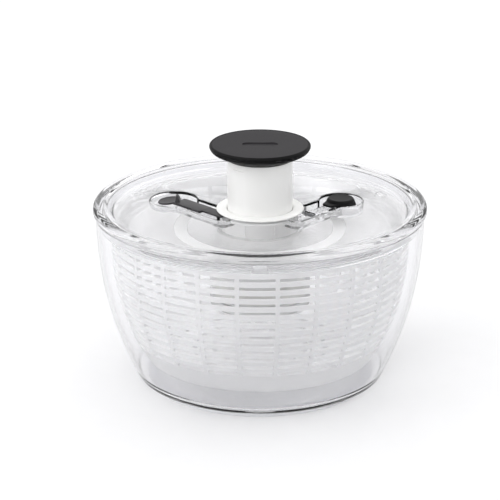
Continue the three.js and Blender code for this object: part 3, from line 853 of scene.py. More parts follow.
@dataclass
class Bowl:
    """The clear bowl with its pivot, and the pale ring it stands on."""

    wall: float = 3.0
    flare: float = 35.0
    curve: float = 2.15
    floor: float = BOWL_FLOOR
    pivot_base: float = 12.0
    pivot_tip: float = 5.0

    def radius(self, height: np.ndarray, rim: float, top: float) -> np.ndarray:
        """Gives the bowl's outer radius: the rim less the flare times (1 - height / top) to the power curve.

        Args:
            height: heights above the table.
            rim: the radius at the rim.
            top: the rim's height.

        Returns:
            The radii.
        """
        return rim - self.flare * (1 - height / top) ** self.curve

    def shell(self) -> Surface:
        """Builds the bowl: the curve outside, the same curve one wall in, a rolled foot and the pivot."""
        low, high = box_mm("bowl")
        rim, top, under = high[0], high[2], low[2]
        foot_radius = box_mm("foot_ring")[1][0]
        inside_floor = under + self.floor
        pivot_top = inside_floor + PIVOT_HEIGHT
        outer_z = np.linspace(under + 3.4, top - 0.9, 60)
        inner_z = np.linspace(inside_floor + 4.4, top - 0.9, 56)
        outer = np.stack([self.radius(outer_z, rim, top), outer_z], axis=1)
        inner = np.stack([self.radius(inner_z, rim, top) - self.wall, inner_z], axis=1)[::-1]
        lip = arc((rim - self.wall / 2, top - 0.9), 0.9, 0.0, 180.0, 9)
        lip[:, 0] = rim - self.wall / 2 + (lip[:, 0] - (rim - self.wall / 2)) * (self.wall / 1.8)
        start = outer[0]
        foot = rounded(
            [
                (0.0, under, 0.0),
                (foot_radius - 8.8, under, 0.0),
                (foot_radius + 1.2, under, 3.0),
                (start[0] - 1.0, start[1] - 1.0, 1.5),
                (start[0], start[1], 0.0),
            ],
            closed=False,
            steps=8,
        )
        end = inner[-1]
        floor = rounded(
            [
                (end[0], end[1], 0.0),
                (end[0] - 5.2, inside_floor, 6.0),
                (self.pivot_base + 4.0, inside_floor, 0.0),
                (self.pivot_base, inside_floor, 2.5),
                (self.pivot_tip, pivot_top - 2.0, 1.2),
                (self.pivot_tip - 2.0, pivot_top, 1.2),
                (0.0, pivot_top, 0.0),
            ],
            closed=False,
            steps=8,
        )
        return revolved(np.concatenate([foot[:-1], outer, lip[1:-1], inner[:-1], floor]), 192)

    def foot(self) -> Surface:
        """Builds the foot ring, with a shallow groove in its underside."""
        low, high = box_mm("foot_ring")
        inside, outside = high[0] - 9.0, high[0]
        return revolved(
            rounded(
                [
                    (inside, low[2], 0.5),
                    (inside + 3.0, low[2], 0.3),
                    (inside + 3.4, low[2] + 0.6, 0.3),
                    (inside + 5.2, low[2] + 0.6, 0.3),
                    (inside + 5.6, low[2], 0.3),
                    (outside - 0.6, low[2], 0.6),
                    (outside, low[2] + 0.9, 0.6),
                    (outside, high[2], 0.4),
                    (inside, high[2], 0.4),
                ]
            ),
            192,
        )

    def build(self, dresser: Dresser) -> None:
        """Builds both pieces."""
        dresser.dress(raw_object("clear_bowl", self.shell()), CLEAR_BOWL, "bowl", ["bowl"], "clear_plastic")
        dresser.dress(raw_object("bowl_foot", self.foot()), FOOT_GEL, "bowl", ["foot_ring"], "foot_rubber")


@dataclass
class Basket:
    """The milky basket: slotted walls between upright ribs, and a slotted floor on a centre cup."""

    bays: int = 24
    rows: int = 13
    pitch: float = 6.9
    slot: float = 3.2
    first_slot: float = 125.2
    rib: float = 3.2
    rib_turn: float = -98.5
    wall: float = 2.2
    flare: float = 27.0
    curve: float = 2.6
    steps_in_slot: int = 6
    lug_angles: tuple[float, ...] = (30.0, 150.0, 270.0)
    notch: float = 4.2  # half its width, in degrees, where a lug of the disc drops in
    floor_rings: tuple[float, ...] = (36.0, 52.0, 68.0)
    floor_slot: float = 4.0
    cup_room: float = 1.6  # from the pivot's tip to the top of the cup over it
    notch_deep: float = 3.8  # how far below the rim a notch reaches
    notch_steps: int = 7  # the steps of the section above a notch's foot

    def radius(self, height: np.ndarray, low: float, high: float, rim: float) -> np.ndarray:
        """Gives the wall's outer radius: rim less flare (1 - share of the height) to the power curve."""
        return rim - 1.0 - self.flare * np.clip(1 - (height - low) / (high - low), 0, 1) ** self.curve

    def path(self) -> tuple[np.ndarray, np.ndarray]:
        """Lays the middle line of the basket's section, from the axis over the floor and up to the rim.

        Returns:
            The (radius, height) points, and for each step between them whether it crosses open slots.
        """
        low, high = box_mm("basket")
        bottom, top = low[2], high[2]
        rim = high[0] / math.cos(math.radians(5.5))
        floor_z = bottom + 1.25
        cup_top = box_mm("bowl")[0][2] + BOWL_FLOOR + PIVOT_HEIGHT + self.cup_room
        cup = [(0.0, cup_top), (3.0, cup_top), (5.4, cup_top - 0.2), (6.8, cup_top - 1.6)]
        cup += [(13.0, floor_z + 1.0)]
        floor: list[tuple[float, float]] = [(14.6, floor_z)]
        open_steps = [False] * 5
        for ring in self.floor_rings:
            floor += [(ring, floor_z), (ring + self.floor_slot, floor_z)]
            open_steps += [False, True]
        slot_middles = self.first_slot - self.pitch * np.arange(self.rows)[::-1]
        first = slot_middles[0] - self.slot / 2
        middle = lambda z: float(self.radius(np.array(z), bottom, top, rim)) - self.wall / 2
        bend = rounded(
            [(84.0, floor_z, 0.0), (middle(bottom + 2.0) - 1.5, floor_z, 7.0), (middle(first), first, 0.0)],
            closed=False,
            steps=7,
        )
        points = cup + floor + [tuple(p) for p in bend[:-1]]
        open_steps += [False] * len(bend[:-1])
        for z in slot_middles:
            points += [(middle(edge), edge) for edge in (z - self.slot / 2, z + self.slot / 2)]
            open_steps += [False, True]
        last = points[-1]
        flange = rounded(
            [
                (last[0], last[1], 0.0),
                (last[0] + 0.05, top - self.notch_deep, 0.0),
                (last[0] + 0.2, top - 1.2, 2.2),
                (rim - 0.1, top - 1.2, 0.0),
            ],
            closed=False,
            steps=5,
        )
        points += [tuple(p) for p in flange[1:]]
        open_steps += [False] * (len(flange) - 1)
        return np.array(points), np.array(open_steps[: len(points) - 1], dtype=bool)

    def angles(self, radius: np.ndarray) -> np.ndarray:
        """Spaces the columns so that each rib keeps its width at every radius.

        Within a bay the columns run from the rib's middle to its edge, w / 2r away, evenly over the slot
        and on to the next rib's edge.

        Args:
            radius: the radius of each row.

        Returns:
            An array (rows, columns) of angles in radians.
        """
        bay = 2 * np.pi / self.bays
        half = np.clip(self.rib / 2 / np.maximum(radius, 12.0), 0, bay * 0.3)[:, None, None]
        share = np.linspace(0.0, 1.0, self.steps_in_slot + 1)[None, None, :]
        starts = (np.radians(self.rib_turn) + bay * np.arange(self.bays))[None, :, None]
        inside = starts + half + share * (bay - 2 * half)
        ribs = np.broadcast_to(starts, (len(radius), self.bays, 1))
        return np.concatenate([ribs, inside], axis=2).reshape(len(radius), -1)

    def surface(self) -> Surface:
        """Skins both faces of the wall and closes it round every opening.

        Row i and column j stand at the middle line's point i, half a wall to either side along its normal,
        at angle j. A cell is open where its row crosses slots and its column lies between ribs.
        """
        line, open_steps = self.path()
        along = np.gradient(line, axis=0)
        along /= np.linalg.norm(along, axis=1)[:, None]
        outward = np.stack([along[:, 1], -along[:, 0]], axis=1)
        thick = np.where(line[:, 0] > 40, self.wall / 2, 1.25)[:, None]
        sides = [line + outward * thick, line - outward * thick]
        turn = self.angles(line[:, 0])
        shells = []
        for side in sides:
            r = np.maximum(side[:, :1], 0.0)
            shells.append(np.stack([r * np.cos(turn), r * np.sin(turn), side[:, 1:] + 0 * turn], axis=-1))
        rows, columns = turn.shape
        per_bay = self.steps_in_slot + 2
        between = np.ones(per_bay, dtype=bool)
        between[[0, -1]] = False
        solid = ~(open_steps[:, None] & np.tile(between, self.bays)[None])
        middle_angle = np.degrees((turn[-1] + np.roll(turn[-1], -1)) / 2)
        middle_angle[-1] = np.degrees(turn[-1][-1] + (turn[-1][-1] - turn[-1][-2]) / 2)
        for lug in self.lug_angles:
            gap = np.abs((middle_angle - lug + 180) % 360 - 180)
            solid[-self.notch_steps :] &= ~(gap < self.notch)[None]
        index = np.arange(rows * columns).reshape(rows, columns)
        beside = np.roll(index, -1, axis=1)
        other = rows * columns
        a, b, c, d = index[:-1], beside[:-1], beside[1:], index[1:]
        outer = np.stack([a, b, c, d], axis=-1)[solid]
        inner = np.stack([d, c, b, a], axis=-1)[solid] + other
        walls = []
        left = solid & ~np.roll(solid, 1, axis=1)
        right = solid & ~np.roll(solid, -1, axis=1)
        walls.append(np.stack([d, a, a + other, d + other], axis=-1)[left])
        walls.append(np.stack([b, c, c + other, b + other], axis=-1)[right])
        below = solid & ~np.vstack([np.ones((1, columns), dtype=bool), solid[:-1]])
        above = solid & ~np.vstack([solid[1:], np.zeros((1, columns), dtype=bool)])
        walls.append(np.stack([a, b, b + other, a + other], axis=-1)[below][:, ::-1])
        walls.append(np.stack([d, c, c + other, d + other], axis=-1)[above])
        points = np.concatenate([shell.reshape(-1, 3) for shell in shells])
        used = np.concatenate([outer, inner, *walls])
        kept, quads = np.unique(used, return_inverse=True)
        return Surface(points[kept], quads.reshape(-1, 4), [])

    def build(self, dresser: Dresser) -> None:
        """Builds the basket."""
        thing = raw_object("slotted_basket", self.surface())
        dresser.dress(thing, BASKET_MILK, "basket", ["basket"], "basket_plastic", crease=38.0)


LOCK_RECESS = Recess(Side.LOCK, -2.0, -1.5, 18.8, 6.5, 6.5)
BRAKE_RECESS = Recess(Side.BRAKE, 2.8, 0.0, 17.3, 8.2, 11.2)


def keyhole(recess: Recess, grow: float, wide: float = 24.0, corner: float = 6.0) -> np.ndarray:
    """Draws a recess's outline: a round well with a straight channel that ends in rounded corners.

    Args:
        recess: the recess.
        grow: how far the outline stands outside the plain one.
        wide: the channel's width.
        corner: the rounding of the channel's end.

    Returns:
        The (x, y) outline in the recess's axes, anticlockwise.
    """
    half, big = wide / 2 + grow, recess.well_radius + grow
    end = recess.reach + recess.past + grow
    upper = math.degrees(math.asin((half - recess.well_y) / big))
    lower = math.degrees(math.asin((-half - recess.well_y) / big))
    return np.concatenate(
        [
            arc((recess.well_x, recess.well_y), big, upper, 360 + lower, 56),
            arc((end - corner, -half + corner), corner, -90, 0, 8),
            arc((end - corner, half - corner), corner, 0, 90, 8),
        ]
    )


@dataclass
class Lid:
    """The clear lid: a rounded rim, a sunken tray with two keyhole recesses, and a centring skirt."""

    plate: float = 2.5
    tray_radius: float = 119.0
    bore: float = 31.4
    recess_wall: float = 2.0
    ear_along: float = 38.6
    ear_inside: float = 7.4
    pin_below: float = 4.0

    def blank(self, top: float, radius: float) -> Surface:
        """Builds the lid without its recesses.

        Args:
            top: the rim's height.
            radius: the rim's radius.

        Returns:
            The turned surface.
        """
        tray = tray_top()
        under = tray - self.plate
        seat = box_mm("bowl")[1][2] + 0.3
        skirt_low = seat - 8.7
        skirt_out = radius - 5.8
        profile = rounded(
            [
                (self.bore, under, 0.4),
                (self.tray_radius + 0.4, under, 2.0),
                (self.tray_radius + 3.6, top - 2.8, 2.0),
                (skirt_out - 2.3, top - 2.8, 1.0),
                (skirt_out - 2.3, skirt_low, 0.8),
                (skirt_out, skirt_low, 0.8),
                (skirt_out, seat, 0.6),
                (radius - 0.9, seat, 0.8),
                (radius, seat + 1.0, 1.2),
                (radius, top - 2.8, 2.6),
                (radius - 3.2, top, 3.2),
                (self.tray_radius + 5.4, top, 3.4),
                (self.tray_radius + 2.6, top - 2.0, 2.6),
                (self.tray_radius, tray, 2.0),
                (self.bore, tray, 0.4),
            ],
            steps=7,
        )
        return revolved(profile, 192)

    def cavity(self, recess: Recess, top: float) -> Surface:
        """Builds what a recess cuts away, with a rolled top edge and a rounded floor."""
        floor = top - recess.depth
        grow = [-1.6, -0.5, 0.0, 0.0, 0.2, 0.7, 1.5, 1.5]
        rise = [floor, floor + 0.4, floor + 1.5, top - 1.3, top - 0.6, top - 0.15, top + 0.02, top + 2.0]
        return lofted([keyhole(recess, g) for g in grow], rise).moved(recess)

    def casing(self, recess: Recess, top: float, join: float) -> Surface:
        """Builds the wall round a recess, from under its floor up to the plate."""
        low = top - recess.depth - self.recess_wall
        grow = [self.recess_wall - 1.6, self.recess_wall - 0.5, self.recess_wall, self.recess_wall]
        return lofted([keyhole(recess, g) for g in grow], [low, low + 0.4, low + 1.5, join]).moved(recess)

    def plug(self, recess: Recess, radius: float, low: float, high: float) -> Surface:
        """Builds a round plug in the middle of a recess's well, with rounded edges."""
        middle = np.array([recess.well_x, recess.well_y])
        return eased_block(plain_outline(radius, 72) + middle, low, high, 0.8).moved(recess)

    def ear(self, sign: int, floor: float, top: float) -> bpy.types.Object:
        """Builds one of the two lugs that hold the brake's pin.

        Args:
            sign: which side of the channel.
            floor: the channel's floor.
            top: the plate's height.

        Returns:
            The lug, bored for the pin.
        """
        near, far = sorted((sign * self.ear_inside, sign * 12.3))
        block = slab(self.ear_along - 3, self.ear_along + 3, near, far, floor - 0.4, top, 0.4)
        hole = arc((self.ear_along, top - self.pin_below), 1.4, 0, 345, 24)
        reach = (sign * 8.1 + 6.1, sign * 8.1 - 6.1)
        ends = [np.stack([hole[:, 0], np.full(24, y), hole[:, 1]], axis=1) for y in reach]
        bore = skinned(np.stack(ends)).moved(BRAKE_RECESS)
        return shaped(f"ear_{sign}", block.moved(BRAKE_RECESS), cuts=[bore])

    def build(self, dresser: Dresser) -> None:
        """Builds the lid and cuts both recesses, the bore and the hole for the brake's stem."""
        high = box_mm("lid")[1]
        tray = tray_top()
        join = tray - self.plate + 0.4
        lock, brake = LOCK_RECESS, BRAKE_RECESS
        deep = tray - brake.well_depth
        joins = [self.casing(side, tray, join) for side in (lock, brake)]
        joins.append(self.plug(brake, brake.well_radius + self.recess_wall, deep - self.recess_wall, join))
        cuts = [self.cavity(side, tray) for side in (lock, brake)]
        cuts.append(self.plug(brake, brake.well_radius - 0.4, deep, tray - 1.0))
        stem = plain_outline(4.0, 32) + np.array([8.0, 0.0])
        cuts.append(eased_block(stem, deep - 6, tray, 0.1).moved(brake))
        cuts.append(lofted([plain_outline(self.bore, 96)] * 2, [100.0, high[2] + 5]))
        thing = shaped("clear_lid", self.blank(high[2], high[0]), joins, cuts)
        for sign in (-1, 1):
            combine(thing, self.ear(sign, tray - brake.depth, tray), "UNION")
        rail = slab(14, lock.reach - 16, -2, 2, tray - lock.depth - 0.4, tray - 2.4, 0.3)
        combine(thing, raw_object("rail", rail.moved(lock)), "UNION")
        dresser.dress(thing, CLEAR_LID, "lid", ["lid"], "clear_plastic", crease=30.0)


@dataclass
class Plunger:
    """The knob, the sleeve it stands on, and the twisted rod and screw inside."""

    lip: float = 1.2
    lead: float = 30.0
    sleeve_wall: float = 2.5
    screw_hole: float = 2.1  # its radius, in the rod's head
    screw_hole_deep: float = 9.0

    def knob_base(self) -> Surface:
        """Builds the knob's base, which spreads from the sleeve, rolls over and ends in a lip."""
        low = box_mm("knob_body")[0]
        seat, high = box_mm("knob_pad")
        radius, top = high[0], high[2]
        return revolved(
            rounded(
                [
                    (0.0, low[2] + 3.0, 0.0),
                    (5.0, low[2] + 3.0, 0.5),
                    (5.0, low[2], 0.5),
                    (27.0, low[2], 0.4),
                    (30.5, low[2] + 2.2, 1.5),
                    (35.6, low[2] + 4.2, 3.0),
                    (39.4, top - 5.4, 2.6),
                    (radius, top - 2.8, 1.6),
                    (radius, top - 1.2, 0.8),
                    (radius - self.lip, top, 0.35),
                    (radius - self.lip - 0.5, top - 0.4, 0.15),
                    (radius - self.lip - 0.5, seat[2], 0.3),
                    (0.0, seat[2], 0.0),
                ],
                closed=False,
                steps=8,
            ),
            160,
        )

    def knob_cap(self) -> bpy.types.Object:
        """Builds the soft pad, a slightly dished insert inside the lip, with a plain oblong recess."""
        low, high = box_mm("knob_pad")
        radius = high[0] - self.lip - 0.6
        pad = revolved(
            rounded(
                [
                    (0.0, low[2] + 0.1, 0.0),
                    (radius, low[2] + 0.1, 0.4),
                    (radius, high[2] - 0.3, 0.4),
                    (24.0, high[2] - 0.35, 8.0),
                    (0.0, high[2] - 0.8, 0.0),
                ],
                closed=False,
                steps=8,
            ),
            160,
        )
        half, end = 4.4, 10.0
        sizes = (half - 0.7, half - 0.2, half, half + 0.1, half + 0.5)
        levels = (high[2] - 1.7, high[2] - 1.55, high[2] - 1.2, high[2] - 0.9, high[2] + 1.0)
        outlines = [
            np.concatenate([arc((end, 0), size, -90, 90, 20), arc((-end, 0), size, 90, 270, 20)])
            for size in sizes
        ]
        return shaped("knob_soft_pad", pad, cuts=[lofted(outlines, levels)])

    def sleeve(self) -> bpy.types.Object:
        """Builds the sleeve, closed at the top, with the two flats that the lock enters."""
        low, high = box_mm("plunger_sleeve")
        radius = high[1]
        inner = radius - self.sleeve_wall
        stop_top = box_mm("stop_ring")[1][2]
        tube_surface = revolved(
            rounded(
                [
                    (2.3, high[2] - 3.0, 0.2),
                    (inner, high[2] - 3.0, 1.0),
                    (inner, low[2], 0.4),
                    (radius - 0.6, low[2], 0.3),
                    (radius - 0.6, stop_top + 0.3, 0.1),
                    (radius, stop_top + 0.8, 0.3),
                    (radius, high[2], 0.5),
                    (2.3, high[2], 0.2),
                ]
            ),
            160,
        )
        lock = LOCK_RECESS
        edge = lock.offset - radius + 1.3
        under = tray_top() - 1.5
        cuts = [
            slab(lock.reach - 14, lock.reach + 14, edge - 4, edge, z - 0.3, z + 1.7, 0.15).moved(lock)
            for z in (under, under + 40.0)
        ]
        return shaped("white_sleeve", tube_surface, cuts=cuts)

    def rod(self) -> Surface:
        """Builds the twisted rod: a rounded strip's outline turned by 360 degrees in every lead of height."""
        low, high = box_mm("twist_rod")
        strip = rounded([(-6, -1.5, 0.5), (6, -1.5, 0.5), (6, 1.5, 0.5), (-6, 1.5, 0.5)], steps=3)
        levels = np.linspace(low[2], high[2] - 4.0, 120)
        turn = (levels - low[2]) / self.lead * 2 * np.pi
        x = strip[None, :, 0] * np.cos(turn)[:, None] - strip[None, :, 1] * np.sin(turn)[:, None]
        y = strip[None, :, 0] * np.sin(turn)[:, None] + strip[None, :, 1] * np.cos(turn)[:, None]
        z = np.broadcast_to(levels[:, None], x.shape)
        return skinned(np.stack([x, y, z], axis=-1))

    def rod_head(self) -> Surface:
        """Builds the flange that seats the rod under the sleeve's top."""
        high = box_mm("twist_rod")[1]
        hole, under = self.screw_hole, high[2] - 5
        corners = [(hole, under, 0.3), (9, under, 0.8), (9, high[2], 0.4), (hole, high[2], 0.3)]
        return revolved(rounded(corners, steps=4), 48)

    def screw(self) -> Surface:
        """Builds the screw: a plain shank and a rounded head with a hollow for the driver."""
        low, high = box_mm("rod_screw")
        top = high[2]
        return revolved(
            rounded(
                [
                    (0, low[2], 0),
                    (1.8, low[2] + 0.6, 0.5),
                    (1.8, top - 2.8, 0.1),
                    (4.0, top - 2.8, 0.3),
                    (4.0, top - 1.2, 0.8),
                    (2.6, top, 0.8),
                    (1.6, top, 0.2),
                    (1.2, top - 1.4, 0.2),
                    (0, top - 1.6, 0),
                ],
                closed=False,
            ),
            40,
        )

    def build(self, dresser: Dresser) -> None:
        """Builds the moving pump pieces."""
        dress = dresser.dress
        dress(raw_object("knob_base", self.knob_base()), BLACK_ABS, "plunger", ["knob_body"], "black_plastic")
        dress(self.knob_cap(), SOFT_BLACK, "plunger", ["knob_pad"], "soft_black", crease=40.0)
        dress(self.sleeve(), WHITE_ABS, "plunger", ["plunger_sleeve"], "white_plastic")
        seat = box_mm("twist_rod")[1][2]
        hole = plain_outline(self.screw_hole, 32)
        bore = lofted([hole] * 2, [seat - self.screw_hole_deep, seat + 1.0])
        rod = shaped("twisted_rod", self.rod(), [self.rod_head()], [bore])
        dress(rod, ACETAL, "plunger", ["twist_rod"], "bearing_plastic", crease=50.0)
        dress(raw_object("rod_end_screw", self.screw()), STEEL, "plunger", ["rod_screw"], "spring_steel")
        low, high = box_mm("stop_ring")
        stop = revolved(
            rounded(
                [
                    (26.0, low[2], 0.4),
                    (high[1], low[2], 0.6),
                    (high[1], high[2], 0.4),
                    (26.0, high[2], 0.4),
                ]
            ),
            96,
        )
        dress(raw_object("sleeve_stop_ring", stop), ACETAL, "plunger", ["stop_ring"], "bearing_plastic")


@dataclass
class PumpHousing:
    """What stands still round the pump: collar, housing with its tower, nut cover, washer and spring."""

    def collar(self) -> bpy.types.Object:
        """Builds the white collar: a guide tube and a rounded flange, slotted for the lock's tongue."""
        low, high = box_mm("collar")
        flange = high[1]
        base = tray_top() + 0.3
        bore = box_mm("plunger_sleeve")[1][1] + 0.3
        outer = bore + 1.8
        body = revolved(
            rounded(
                [
                    (bore, low[2], 0.3),
                    (outer, low[2], 0.4),
                    (outer, base, 0.3),
                    (flange - 0.4, base, 0.3),
                    (flange, base + 0.5, 0.4),
                    (flange - 0.4, high[2] - 0.6, 0.6),
                    (flange - 2.6, high[2], 1.2),
                    (bore + 1.2, high[2], 0.7),
                    (bore, high[2] - 1.1, 0.7),
                ],
                steps=6,
            ),
            160,
        )
        lock = LOCK_RECESS
        under = tray_top() - 1.5
        slot = slab(0, lock.reach + 8, -5.4, lock.offset - 25.0, under - 0.3, under + 1.7, 0.2).moved(lock)
        return shaped("white_collar", body, cuts=[slot])

    def housing(self) -> bpy.types.Object:
        """Builds the housing: the tube, its floor, the tower, a screwed flange and its gussets."""
        low, high = box_mm("housing")
        floor, top = low[2], high[2]
        bore, outer = 28.8, 31.0
        body = revolved(
            rounded(
                [
                    (10.5, floor, 0.4),
                    (outer, floor, 1.2),
                    (outer, top, 0.4),
                    (bore, top, 0.4),
                    (bore, floor + 2.2, 1.2),
                    (18.0, floor + 2.2, 0.8),
                    (18.0, 112.0, 0.6),
                    (10.5, 112.0, 0.4),
                ]
            ),
            192,
        ).fluted(outer - 1.0, 8, 0.7, 22.5)
        flange = revolved(
            rounded(
                [
                    (outer - 0.4, top - 2.2, 0.1),
                    (36.5, top - 2.2, 0.5),
                    (36.5, top, 0.5),
                    (outer - 0.4, top, 0.1),
                ]
            ),
            128,
        )
        gussets = [
            slab(outer - 0.4, outer + 2.0, -0.8, 0.8, 126.2, top - 1.0, 0.25).posed(turn=step * 45.0 + 22.5)
            for step in range(8)
        ]
        taken = [
            lofted([keyhole(side, 2.4)] * 2, [tray_top() - side.depth - 2.4, 160.0]).moved(side)
            for side in (LOCK_RECESS, BRAKE_RECESS)
        ]
        thing = raw_object("frosted_housing", body)
        combine(thing, shaped("flange_work", flange, gussets, taken), "UNION")
        return thing

    def cover(self) -> Surface:
        """Builds the cap over the nut."""
        low, high = box_mm("nut_cover")
        radius = high[0]
        return revolved(
            rounded(
                [
                    (radius - 2, low[2], 0.3),
                    (radius, low[2], 0.3),
                    (radius, high[2], 1.4),
                    (8.0, high[2], 0.5),
                    (8.0, high[2] - 2, 0.3),
                    (radius - 2, high[2] - 2, 0.6),
                ]
            ),
            96,
        )

    def build(self, dresser: Dresser) -> None:
        """Builds the still pieces and the two springs."""
        dress = dresser.dress
        dress(self.collar(), WHITE_ABS, "lid", ["collar"], "white_plastic")
        dress(self.housing(), FROSTED, "lid", ["housing"], "frosted_plastic")
        dress(raw_object("nut_cap", self.cover()), WHITE_ABS, "lid", ["nut_cover"], "white_plastic")
        low, high = box_mm("thrust_washer")
        washer = revolved(
            rounded(
                [(10.8, low[2], 0.15), (high[0], low[2], 0.2), (high[0], high[2], 0.2), (10.8, high[2], 0.15)]
            ),
            64,
        )
        dress(raw_object("nut_washer", washer), ACETAL, "lid", ["thrust_washer"], "bearing_plastic")
        low, high = box_mm("return_spring")
        spring = raw_object("pump_spring", coil(20.9, 1.6, low[2], high[2], 9))
        dress(spring, STEEL, "lid", ["return_spring"], "spring_steel", crease=60.0)
        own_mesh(spring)


@dataclass
class Drive:
    """The nut that the rod turns, with its stem, ratchet wheel and clip."""

    teeth: int = 16

    def nut(self) -> bpy.types.Object:
        """Builds the nut and its stem, pierced by the rod's twisted shape."""
        low, high = box_mm("drive_nut")
        stem, head = 10.1, high[0]
        clip = box_mm("retaining_clip")
        seat = high[2] - 7.0
        body = revolved(
            rounded(
                [
                    (6.8, low[2], 0.3),
                    (stem, low[2], 0.6),
                    (stem, clip[0][2] - 0.2, 0.1),
                    (stem - 1, clip[0][2] - 0.2, 0.1),
                    (stem - 1, clip[1][2] + 0.2, 0.1),
                    (stem, clip[1][2] + 0.2, 0.1),
                    (stem, seat, 0.2),
                    (head, seat, 0.5),
                    (head, high[2], 0.8),
                    (0.0, high[2], 0.0),
                    (0.0, seat, 0.0),
                    (6.8, seat, 0.4),
                ]
            )[::1],
            96,
        )
        rod_low = box_mm("twist_rod")[0][2]
        strip = rounded([(-6.5, -2, 0.5), (6.5, -2, 0.5), (6.5, 2, 0.5), (-6.5, 2, 0.5)], steps=3)
        levels = np.linspace(rod_low, rod_low + 10.0, 21)
        turn = (levels - rod_low) / 30.0 * 2 * np.pi
        x = strip[None, :, 0] * np.cos(turn)[:, None] - strip[None, :, 1] * np.sin(turn)[:, None]
        y = strip[None, :, 0] * np.sin(turn)[:, None] + strip[None, :, 1] * np.cos(turn)[:, None]
        z = np.broadcast_to(levels[:, None], x.shape)
        return shaped("drive_nut_and_stem", body, cuts=[skinned(np.stack([x, y, z], axis=-1))])

    def wheel(self) -> Surface:
        """Builds the ratchet wheel's outline: each tooth falls from its tip to its root and steps back up."""
        low, high = box_mm("ratchet_wheel")
        share = np.linspace(0.0, 1.0, 7)[:-1]
        tip, root = 21.0, 19.0
        radius = np.tile(np.concatenate([[tip - 0.1], root + (tip - root) * share[1:] ** 1.2]), self.teeth)
        turn = (np.arange(self.teeth)[:, None] + share[None] + np.array([0, -0.1, 0, 0, 0, 0])[None]).ravel()
        turn = turn / self.teeth * 2 * np.pi
        outline = np.stack([radius * np.cos(turn), radius * np.sin(turn)], axis=1)
        levels = [low[2], low[2] + 0.4, high[2] - 0.4, high[2]]
        return lofted([outline * s for s in (0.985, 1.0, 1.0, 0.985)], levels)

    def build(self, dresser: Dresser) -> None:
        """Builds the pieces that turn with the nut."""
        dress = dresser.dress
        dress(self.nut(), ACETAL, "driver", ["drive_nut"], "bearing_plastic")
        low, high = box_mm("ratchet_wheel")
        hole = lofted([plain_outline(10.4, 64)] * 2, [low[2] - 1, high[2] + 1])
        wheel = shaped("ratchet", self.wheel(), cuts=[hole])
        dress(wheel, ACETAL, "driver", ["ratchet_wheel"], "bearing_plastic")
        low, high = box_mm("retaining_clip")
        ring = revolved(
            rounded(
                [(9.4, low[2], 0.2), (high[1], low[2], 0.3), (high[1], high[2], 0.3), (9.4, high[2], 0.2)]
            ),
            72,
        )
        mouth = slab(0, 20, -4, 4, low[2] - 1, high[2] + 1, 0.3)
        dress(shaped("stem_clip", ring, cuts=[mouth]), STEEL, "driver", ["retaining_clip"], "spring_steel")


